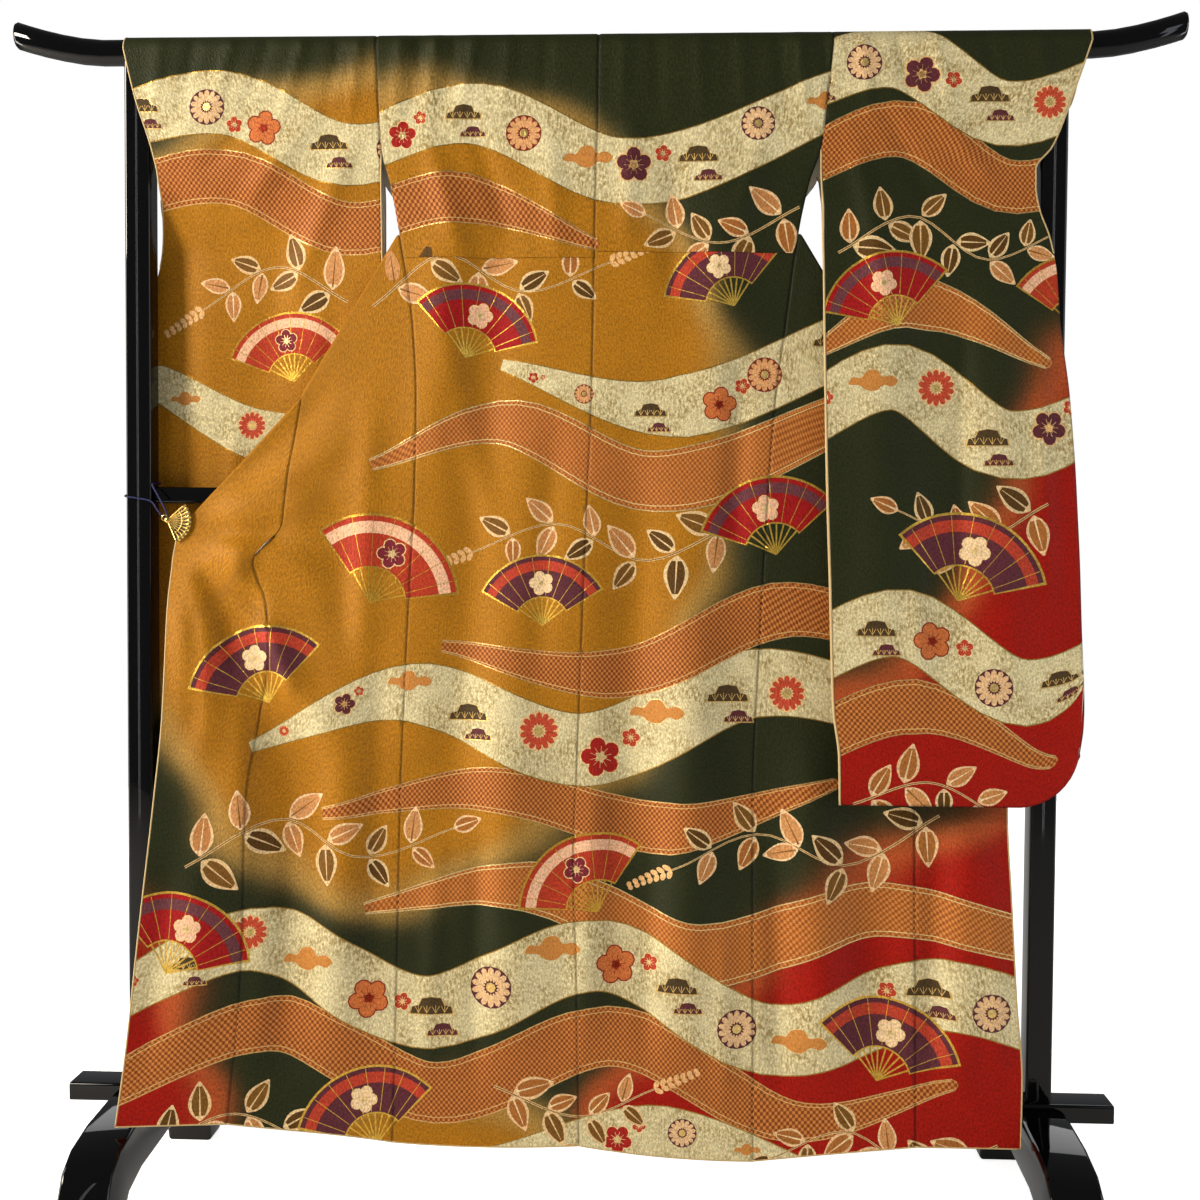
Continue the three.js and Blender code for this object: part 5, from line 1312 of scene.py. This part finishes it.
make_cloth(
    "collar_silk", ["collar"], collar_place, lambda u, v: np.stack([u * 1.7 - 0.85, 2.40 + 0.06 * v], -1), (1.7, 0.06),
    [k / 200 for k in range(201)], [k / 8 for k in range(9)],
    collar_figures, far_ground, lambda u, v: 0.0012 * (1 - (2 * v - 1) ** 4),
)

# ---- Sleeves ------------------------------------------------------------------------------------------------
# Long swinging sleeves, each one length of silk folded at the shoulder line, closed along the bottom and up the
# outer side to the wrist opening, with a rounded corner.

sleeve_rows = {
    "left": [
        (0.572, -0.296, -0.64, 0.016, 0.023, 0.02, 0.0265), (0.62, -0.296, -0.641, 0.016, 0.024, 0.022, 0.0275),
        (0.8, -0.293, -0.641, 0.015, 0.0245, 0.026, 0.028), (1.007, -0.291, -0.64, 0.0145, 0.024, 0.028, 0.0275),
        (1.15, -0.29, -0.637, 0.009, 0.024, 0.025, 0.0275), (1.24, -0.29, -0.632, 0.003, 0.023, 0.023, 0.0265),
        (1.3, -0.29, -0.622, -0.003, 0.022, 0.021, 0.0255), (1.345, -0.29, -0.611, -0.007, 0.02, 0.02, 0.0235),
        (1.39, -0.29, -0.604, -0.011, 0.006, 0.019, 0.01), (1.42, -0.29, -0.602, -0.0135, -0.006, 0.018, -0.001),
        (1.45, -0.29, -0.603, -0.016, -0.019, 0.013, 0.016), (1.485, -0.289, -0.61, -0.0185, -0.021, 0.0153, 0.023),
        (1.56, -0.294, -0.634, -0.018, -0.0215, 0.0175, 0.023),
        (1.627, -0.2976, -0.65, -0.0173, -0.0215, 0.0173, 0.0215),
    ],
    "right": [
        (0.598, 0.343, 0.655, -0.11, -0.112, -0.106, -0.1085), (0.66, 0.342, 0.661, -0.108, -0.11, -0.098, -0.1065),
        (0.727, 0.334, 0.661, -0.101, -0.105, -0.09, -0.1015), (0.9, 0.33, 0.662, -0.079, -0.076, -0.066, -0.0725),
        (1.004, 0.327, 0.66, -0.066, -0.06, -0.053, -0.0565),
        (1.141, 0.324, 0.652, -0.052, -0.046, -0.042, -0.0425),
        (1.24, 0.322, 0.64, -0.044, -0.038, -0.036, -0.0345), (1.314, 0.321, 0.634, -0.037, -0.033, -0.03, -0.0295),
        (1.36, 0.32, 0.625, -0.033, -0.03, -0.022, -0.0265), (1.4, 0.32, 0.611, -0.029, -0.027, -0.012, -0.023),
        (1.43, 0.318, 0.606, -0.025, -0.025, -0.001, -0.008),
        (1.455, 0.317, 0.606, -0.0215, -0.0235, 0.0132, 0.008),
        (1.485, 0.317, 0.628, -0.0185, -0.0225, 0.0153, 0.023),
        (1.556, 0.326, 0.655, -0.018, -0.022, 0.0175, 0.023),
        (1.627, 0.3334, 0.679, -0.0173, -0.0215, 0.0173, 0.0215),
    ],
}
far_wrist = {
    "left": [
        (0.572, -0.64), (1.24, -0.632), (1.345, -0.611), (1.39, -0.604), (1.45, -0.604), (1.488, -0.611),
        (1.515, -0.624), (1.56, -0.642), (1.627, -0.65),
    ],
    "right": [
        (0.598, 0.655), (0.727, 0.661), (1.004, 0.66), (1.24, 0.64), (1.36, 0.625), (1.4, 0.611), (1.43, 0.605),
        (1.455, 0.605), (1.488, 0.611), (1.515, 0.63), (1.556, 0.664), (1.627, 0.679),
    ],
}
sleeve_folds = {
    "left": [
        (-0.54, 1.5, -0.56, 1.05, 0.034, 0.005), (-0.42, 1.48, -0.47, 1.08, 0.036, -0.004),
        (-0.47, 0.98, -0.5, 0.62, 0.04, -0.004),
    ],
    "right": [
        (0.4, 1.56, 0.385, 0.64, 0.034, 0.006), (0.47, 1.48, 0.48, 0.64, 0.038, -0.005),
        (0.56, 1.42, 0.57, 0.66, 0.036, 0.006),
    ],
}
# smaller creases of both layers, in the same terms, and the gathers at the shoulder
sleeve_creases = {
    "left": [
        (-0.330, 1.600, -0.500, 1.390, 0.016, 0.0040), (-0.380, 1.610, -0.560, 1.440, 0.013, -0.0030),
        (-0.450, 1.600, -0.590, 1.500, 0.012, 0.0030), (-0.310, 1.540, -0.440, 1.250, 0.018, 0.0034),
        (-0.350, 1.330, -0.400, 0.900, 0.016, -0.0026), (-0.590, 1.250, -0.600, 0.820, 0.015, 0.0028),
        (-0.500, 1.200, -0.520, 0.800, 0.014, 0.0022),
    ],
    "right": [
        (0.420, 1.600, 0.560, 1.420, 0.014, 0.0032), (0.370, 1.610, 0.470, 1.400, 0.013, -0.0028),
        (0.350, 1.560, 0.420, 1.200, 0.016, 0.0030), (0.510, 1.340, 0.500, 0.780, 0.015, -0.0028),
        (0.610, 1.300, 0.620, 0.820, 0.014, 0.0028), (0.440, 1.100, 0.450, 0.700, 0.014, 0.0024),
    ],
}
sleeve_gathers = [
    (-0.600, 0.08, 0.011, 0.0020), (-0.552, 0.22, 0.010, -0.0022), (-0.500, 0.30, 0.010, 0.0026),
    (-0.450, 0.34, 0.010, -0.0020), (-0.400, 0.30, 0.009, 0.0030), (-0.350, 0.20, 0.009, -0.0022),
    (-0.322, 0.12, 0.008, 0.0028), (0.372, -0.10, 0.009, 0.0026), (0.420, -0.22, 0.009, -0.0022),
    (0.470, -0.26, 0.010, 0.0026), (0.540, -0.26, 0.010, -0.0018), (0.610, -0.16, 0.011, 0.0020),
]
side_height = through([(1.45, -0.29), (1.535, -0.294), (1.6172, -0.298)])
sleeve_crest = 0.93  # share of a layer's length up to the crest


def sleeve(side, sign):
    table, wrist = through(sleeve_rows[side]), through(far_wrist[side])
    bottom = sleeve_rows[side][0][0]
    fullness_ = {"left": 0.003, "right": 0.008}[side]

    def far_seam(z):
        x = side_height(z)[:, 0]
        return x if sign < 0 else mirrored(np.stack([x, 0 * x, 0 * x], -1))[:, 0]

    def layer(across, v, near):
        share = np.minimum(v, sleeve_crest) / sleeve_crest
        z0 = mix(bottom, rail_z, share)
        row = table(z0)
        outer = np.where(near, row[:, 1], wrist(z0)[:, 0])
        sewn_x = np.where(near, seam[f"{side}_side"](z0)[:, 0], far_seam(z0) + sign * 0.0005)
        inner_ = np.where(z0 > np.where(near, 1.485, 1.450), sewn_x, row[:, 0])
        x = mix(inner_, outer, across)
        reach = np.clip(0.08 - np.abs(outer - x), 0, 0.08)
        lift = 0.08 - np.sqrt(0.08**2 - reach**2)
        z = z0 + lift * (1 - smooth(4 * share))
        belly = 4 * across * (1 - across)
        parted = smooth((z - bottom - lift) / 0.06) * smooth((1.48 - z) / 0.2)
        full = fullness_ * belly * parted
        free = smooth((rail_z - 0.02 - z) / 0.18)
        waves_ = free * (1.2 * folded(x, z, sleeve_folds[side]) * belly + 1.4 * folded(x, z, sleeve_creases[side]))
        waves_ = waves_ + gathered(x, z, sleeve_gathers)
        near_y = mix(row[:, 2], row[:, 3], across) - 0.3 * full
        far_y = mix(row[:, 4], row[:, 5], across) + 0.0004 + full
        y = np.where(near, near_y, far_y) - np.where(near, 1, 0.6) * waves_
        turn_ = np.clip((v - sleeve_crest) / (1 - sleeve_crest), 0, 1) / 2
        depth = mix(0.0173, 0.0215, across)
        top = np.where(near, -y, y)
        over = over_rail(x, np.where(near, turn_, 1 - turn_), mix(top, depth, smooth(2 * turn_)))
        return np.where((v <= sleeve_crest)[:, None], np.stack([x, y, z], -1), over)

    def place(u, v):
        across = 1 - u if sign < 0 else u
        near = v <= 0.5
        return layer(across, np.clip(np.where(near, 2 * v, 2 - 2 * v), 0, 1), near)

    def plan(u, v):
        across = 1 - u if sign < 0 else u
        near = v <= 0.5
        v_ = np.where(near, 2 * v, 2 - 2 * v)
        z0 = mix(bottom, rail_z, np.minimum(v_, sleeve_crest) / sleeve_crest)
        row = table(np.maximum(z0, bottom))
        x = mix(row[:, 0], row[:, 1], across)
        rise = np.clip((v_ - sleeve_crest) / (1 - sleeve_crest), 0, 1) * crest_length / 2
        length = z0 + rise
        return np.stack([x, np.where(near, length, 2 * rail_z + crest_length - length)], -1)

    return place, plan


def sleeve_relief(u, v, sign=1):
    across = 1 - u if sign < 0 else u
    layer_v = np.where(v <= 0.5, 2 * v, 2 - 2 * v)
    closed = smooth((0.66 - layer_v) / 0.05)
    bottom = seam_dip(layer_v * 1.05)
    return seam_dip((1 - across) * 0.34) * closed + seam_dip(across * 0.34) + bottom


half = rows_between(0, 2, 0.002, 100, 0.465, 8, 0.5)
sleeve_figures = {"left": left_sleeve_figures, "right": right_sleeve_figures}
sleeve_ground = {"left": left_sleeve_ground, "right": right_sleeve_ground}
for side, sign in (("left", -1), ("right", 1)):
    place, plan = sleeve(side, sign)
    make_cloth(
        f"sleeve_{side}_silk", [f"sleeve_{side}_back", f"sleeve_{side}_front"], place, plan, (0.34, 2.14),
        columns_for(0.34), half + [1 - v for v in half[::-1][1:]],
        sleeve_figures[side], sleeve_ground[side], lambda u, v, s=sign: sleeve_relief(u, v,
            s),
    )
    edges_of[side].append(edge_path(place, 0 if sign < 0 else 1, np.linspace(0.335, 0.665, 120)))
    edges_of[side].append(edge_path(place, 1 if sign < 0 else 0, np.linspace(0.0, 0.40, 140)))
    edges_of[side].append(edge_path(place, 1 if sign < 0 else 0, np.linspace(0.60, 1.0, 140)))

# ---- Rolled edges -------------------------------------------------------------------------------------------
# The lining is rolled a little to the outside along the wrist openings, hems and free edges, as a fine gold-cream
# piping, padded with a strand of floss.

edge_silk, shader = new_material("gold_cream_edge_silk")
edge_spot = node(edge_silk, "TexCoord").outputs["Object"]
# the ribbed twill of the edge, a line every 1.5 mm
edge_rib = node(edge_silk, "TexNoise", {"Vector": edge_spot, "Scale": 1 / 0.0015, "Detail": 2.0})
edge_tone = node(edge_silk, "Mix", {0: edge_rib.outputs["Fac"], 6: linear("#a9864a"), 7: linear("#d6bf86")},
    data_type="RGBA")
join_nodes(edge_silk, edge_tone.outputs[2], shader, "Base Color")
shader.inputs["Roughness"].default_value = 0.5
shader.inputs["Sheen Weight"].default_value = 0.3


def tube(path, radius, sides=8):
    """Points and faces of a tube round a path of points."""
    path = np.array(path, float)
    way = unit(np.gradient(path, axis=0))
    up = np.array([0.0, 1.0, 0.0]) if abs(way[0][1]) < 0.8 else np.array([1.0, 0.0, 0.0])
    rings = []
    for at, along in zip(path, way):
        up = up - along * up.dot(along)
        up /= np.linalg.norm(up)
        across = np.cross(along, up)
        rings += [
            at + radius * (math.cos(turn_) * up + math.sin(turn_) * across)
            for turn_ in (2 * math.pi * k / sides for k in range(sides))
        ]
    faces = [
        (r * sides + k, r * sides + (k + 1) % sides, (r + 1) * sides + (k + 1) % sides, (r + 1) * sides + k)
        for r in range(len(path) - 1)
        for k in range(sides)
    ]
    last = (len(path) - 1) * sides
    faces += [tuple(range(sides))[::-1], tuple(last + k for k in range(sides))]
    return np.array(rings), faces


def tubes(name, paths, radius, material, nodes=(), sides=8):
    """One piece made of tubes."""
    points, faces = [], []
    for path in paths:
        new, more = tube(path, radius, sides)
        faces += [tuple(i + len(points) for i in face) for face in more]
        points += new.tolist()
    mesh = bpy.data.meshes.new(name)
    mesh.from_pydata(points, [], faces)
    mesh.materials.append(material)
    mesh.polygons.foreach_set("use_smooth", np.ones(len(faces), bool))
    faced_outwards(mesh)
    piece = added(name, mesh)
    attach(piece, "root")
    if nodes:
        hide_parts(*nodes)
    return piece


for side in ("left", "right"):
    tubes(f"rolled_edges_{side}", edges_of[side], 0.0013, edge_silk)

# ---- Fan clips ----------------------------------------------------------------------------------------------
# Spring clips of gilt brass that hold the spread fronts. The face is an open fan of ten pressed leaves with raised
# ribs and a rolled rim, and a plain jaw behind it is hinged on a pin.

gilt, shader = new_material("gilt_pressed_brass")
gilt_spot = node(gilt, "TexCoord").outputs["Object"]
# fine scratches of polishing, 1.5 mm apart, and duller patches from handling
scratch = node(gilt, "TexNoise", {"Vector": gilt_spot, "Scale": 1 / 0.0015, "Detail": 3.0})
worn = node(gilt, "TexNoise", {"Vector": gilt_spot, "Scale": 1 / 0.009, "Detail": 3.0})
gilt_tone = node(gilt, "Mix", {0: worn.outputs["Fac"], 6: linear("#e8c878"), 7: linear("#c79a45")}, data_type="RGBA")
join_nodes(gilt, gilt_tone.outputs[2], shader, "Base Color")
shader.inputs["Metallic"].default_value = 1.0
gilt_rough = node(gilt, "MapRange", {"Value": scratch.outputs["Fac"], "To Min": 0.16, "To Max": 0.36})
join_nodes(gilt, gilt_rough.outputs["Result"], shader, "Roughness")
# the pressed valleys between the leaves, in a darker brass
valley, shader = new_material("darkened_brass")
shader.inputs["Base Color"].default_value = linear("#3a2a10")
shader.inputs["Metallic"].default_value = 0.6
shader.inputs["Roughness"].default_value = 0.55
fan_radius, fan_from, fan_to, fan_leaves = 0.034, math.radians(-68), math.radians(42), 10
pin_out, pin_up = 0.012, 0.020  # the pin, from the corner of the cloth
slack, jaw_plate = 0.0024, 0.0016


def fan_clip(side, sign):
    x0, y0, z0 = corners[side]
    pivot = np.array([x0 + sign * pin_out, 0, z0 + pin_up])

    def at(distance, angle, y):
        return pivot + (-sign * math.cos(angle) * distance, y, math.sin(angle) * distance)

    points, faces, dark = [], [], []

    def plate(radius, front, back_, pleat):
        start = len(points)
        steps_ = 4 * fan_leaves
        for n in range(steps_ + 1):
            angle = mix(fan_from, fan_to, n / steps_)
            leaf = 0.5 + 0.5 * math.cos(2 * math.pi * n / 4)
            reach = radius * (0.965 + 0.035 * leaf)
            for share in (0.10, 0.45, 0.84, 0.88, 0.95, 0.99):
                rim = -0.0005 if share in (0.88, 0.95) else 0
                points.append(at(reach * share, angle, front - pleat * leaf * share + rim))
            points.append(at(reach * 0.99, angle, back_))
            points.append(at(reach * 0.10, angle, back_))
        for n in range(steps_):
            a, b = start + 8 * n, start + 8 * n + 8
            for k in range(8):
                if k == 1 and n % 4 in (1, 2):
                    dark.append(len(faces))
                faces.append((a + k, a + (k + 1) % 8, b + (k + 1) % 8, b + k))
        faces.append(tuple(start + k for k in range(8))[::-1])
        faces.append(tuple(start + 8 * steps_ + k for k in range(8)))

    face = y0 - slack - jaw_plate
    rear = y0 + 2 * fold_radius + slack
    plate(fan_radius, face, face + 0.0012, 0.0011)
    plate(fan_radius * 0.7, rear + jaw_plate, rear, 0)
    mesh = bpy.data.meshes.new(f"fan_clip_{side}")
    mesh.from_pydata([tuple(p) for p in points], [], faces)
    mesh.materials.append(gilt)
    mesh.materials.append(valley)
    for n in dark:
        mesh.polygons[n].material_index = 1
    piece = added(f"fan_clip_{side}", mesh)
    parts_ = [piece]
    # ribs of the fan, two outer guards, and the arc stamped across the leaves
    ribs = []
    for n in range(fan_leaves + 1):
        angle = mix(fan_from, fan_to, n / fan_leaves)
        ribs.append([at(fan_radius * share, angle, face - 0.0004) for share in (0.08, 0.4, 0.86)])
    arc = [at(fan_radius * 0.60, mix(fan_from, fan_to, k / 24), face - 0.0006) for k in range(25)]
    for path, radius in [(rib, 0.00045) for rib in ribs[1:-1]] + [(ribs[0], 0.0011), (ribs[-1], 0.0011),
        (arc, 0.0005)]:
        new, more = tube(path, radius, 6)
        rib_mesh = bpy.data.meshes.new("rib")
        rib_mesh.from_pydata(new.tolist(), [], more)
        rib_mesh.materials.append(gilt)
        parts_.append(added("rib", rib_mesh))
    # the pin, with a domed head, through both jaws
    bpy.ops.object.select_all(action="DESELECT")
    length = rear - face + 0.0036
    bpy.ops.mesh.primitive_cylinder_add(
        vertices=24, radius=0.0032, depth=length, location=(pivot[0], (rear + face) / 2,
            pivot[2]), rotation=(math.pi / 2, 0, 0)
    )
    parts_.append(bpy.context.object)
    bpy.ops.mesh.primitive_uv_sphere_add(
        segments=24, ring_count=12, radius=0.0046, location=(pivot[0], face - 0.0008, pivot[2]), scale=(1, 0.55, 1)
    )
    parts_.append(bpy.context.object)
    # the ring that the cord runs through
    bpy.ops.mesh.primitive_torus_add(
        major_radius=0.0042, minor_radius=0.0007, major_segments=28, minor_segments=8,
        location=(pivot[0] + sign * 0.0045, face + 0.0012, pivot[2] + 0.003), rotation=(math.pi / 2, 0, 0),
    )
    parts_.append(bpy.context.object)
    bpy.ops.object.select_all(action="DESELECT")
    for one in parts_[-3:]:
        one.data.materials.append(gilt)
    for one in parts_:
        one.select_set(True)
    bpy.context.view_layer.objects.active = piece
    bpy.ops.object.join()
    bpy.ops.object.transform_apply(location=True, rotation=True, scale=True)
    faced_outwards(piece.data)
    bpy.ops.object.shade_smooth_by_angle(angle=math.radians(40))
    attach(piece, "root")
    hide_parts(f"clip_{side}")


for side, sign in (("left", -1), ("right", 1)):
    fan_clip(side, sign)

# ---- Clip cords ---------------------------------------------------------------------------------------------
# A thin dark blue braid from each clip's pin, once round its post and back, tied at the pin.

braid, shader = new_material("dark_blue_silk_braid")
braid_spot = node(braid, "TexCoord").outputs["Object"]
strands = node(braid, "TexNoise", {"Vector": braid_spot, "Scale": 1 / 0.0012, "Detail": 2.0})
braid_tone = node(braid, "Mix", {0: strands.outputs["Fac"], 6: linear("#080a30"), 7: linear("#1a1f66")},
    data_type="RGBA")
join_nodes(braid, braid_tone.outputs[2], shader, "Base Color")
shader.inputs["Roughness"].default_value = 0.6
post_faces = {"inside": 0.615, "outside": 0.651}
twist, strand_off = 0.005, 0.0006  # one turn of the two strands, and how far each lies off the middle
# x is away from the middle, from the pin or from the post's inner or outer face, then y, and the rise above the pin
cord_way = [
    ("pin", 4.9, -27, 1),
    ("pin", 16, -25, 12),
    ("inside", 0.4, -20.6, 27),
    ("outside", -1.4, -19.4, 33),
    ("outside", 1.6, -15.4, 34),
    ("outside", 1.6, 15.4, 42),
    ("outside", -2.4, 19.4, 43),
    ("inside", 2.4, 19.4, 52),
    ("inside", -1.6, 15.4, 53),
    ("inside", -1.6, -15.4, 51),
    ("inside", -4.6, -20.4, 46),
    ("pin", 8, -25, 18),
    ("pin", 2, -27, 4.9),
]
for side, sign in (("left", -1), ("right", 1)):
    x0, _, z0 = corners[side]
    places = dict(post_faces, pin=abs(x0) + pin_out)
    route = through([
        (k, sign * (places[start] + x / 1000), y / 1000, z0 + pin_up + rise / 1000)
        for k, (start, x, y, rise) in enumerate(cord_way)
    ])
    share = np.linspace(0, len(cord_way) - 1, 260)
    centre_line = route(share)
    far_ = np.concatenate([[0], np.cumsum(np.linalg.norm(np.diff(centre_line, axis=0), axis=1))])
    way = unit(np.gradient(centre_line, axis=0))
    side_ = unit(np.cross(way, (0.0, 1.0, 0.1)))
    other = np.cross(way, side_)
    strands_ = []
    for k in (0, 1):
        turn_ = (far_ / twist * 2 * math.pi + k * math.pi)[:, None]
        strands_.append(centre_line + strand_off * (np.cos(turn_) * side_ + np.sin(turn_) * other))
    tubes(f"clip_cord_{side}", strands_, 0.00088, braid, [f"cord_{side}"], 6)

# ---- Floor and light ----------------------------------------------------------------------------------------
# A plain pale floor and a pale surround, a soft light from the upper left in front and a weaker one from the right,
# one to each side, one over the floor behind, and four thin tubes in front that draw the lines on the lacquer.

bpy.ops.object.select_all(action="DESELECT")
bpy.ops.mesh.primitive_plane_add(size=7)
floor = bpy.context.object
floor.name = "pale_floor"
paper, shader = new_material("pale_floor_paint")
shader.inputs["Base Color"].default_value = linear("#f4f3f0")
shader.inputs["Roughness"].default_value = 0.75
shader.inputs["Emission Color"].default_value = linear("#ffffff")
seen = node(paper, "Math", {0: node(paper, "LightPath").outputs["Is Camera Ray"], 1: 0.75}, operation="MULTIPLY")
join_nodes(paper, seen.outputs[0], shader, "Emission Strength")
floor.data.materials.append(paper)

world = bpy.data.worlds.new("pale_studio")
bpy.context.scene.world = world
world.use_nodes = True
tree = world.node_tree
around = tree.nodes["Background"]
around.inputs["Color"].default_value = linear("#f4f6fa")
around.inputs["Strength"].default_value = 0.19
paper_wall = tree.nodes.new("ShaderNodeBackground")
paper_wall.inputs["Color"].default_value = linear("#ffffff")
either = tree.nodes.new("ShaderNodeMixShader")
tree.links.new(tree.nodes.new("ShaderNodeLightPath").outputs["Is Camera Ray"], either.inputs["Fac"])
tree.links.new(around.outputs["Background"], either.inputs[1])
tree.links.new(paper_wall.outputs["Background"], either.inputs[2])
tree.links.new(either.outputs["Shader"], tree.nodes["World Output"].inputs["Surface"])
bpy.context.scene.view_settings.view_transform = "Standard"


def soft_light(name, at, aim, size, watts, tone):
    lamp = bpy.data.lights.new(name, "AREA")
    lamp.shape = "RECTANGLE"
    lamp.size, lamp.size_y = size
    lamp.energy = watts
    lamp.color = linear(tone)[:3]
    held = added(name, lamp)
    held.location = at
    held.rotation_euler = (Vector(aim) - Vector(at)).to_track_quat("-Z", "Y").to_euler()


soft_light("key", (-2.9, -1.7, 2.2), (0.0, 0.0, 0.95), (0.7, 0.7), 118, "#fff4e4")
soft_light("fill", (2.6, -2.2, 1.2), (0.1, 0.0, 0.8), (0.5, 2.2), 10, "#eef2ff")
soft_light("side_left", (-3.0, -0.5, 1.1), (0, 0, 1.0), (0.5, 2.4), 60, "#fff8ee")
soft_light("side_right", (3.0, -0.5, 1.1), (0, 0, 1.0), (0.5, 2.4), 26, "#ffffff")
soft_light("floor_light", (0.0, 4.2, 3.2), (0.0, 3.2, 0.0), (6.0, 2.0), 80, "#ffffff")
# thin upright tubes in front, which the posts mirror as two bright lines each
for side, x in (("left", -1.70), ("right", 1.36)):
    for n in (-1, 1):
        soft_light(f"tube_{side}_{n + 1}", (x + 0.028 * n, -2.94, 1.0), (x + 0.028 * n, 0, 1.0), (0.012, 4.0), 1.2,
            "#ffffff")
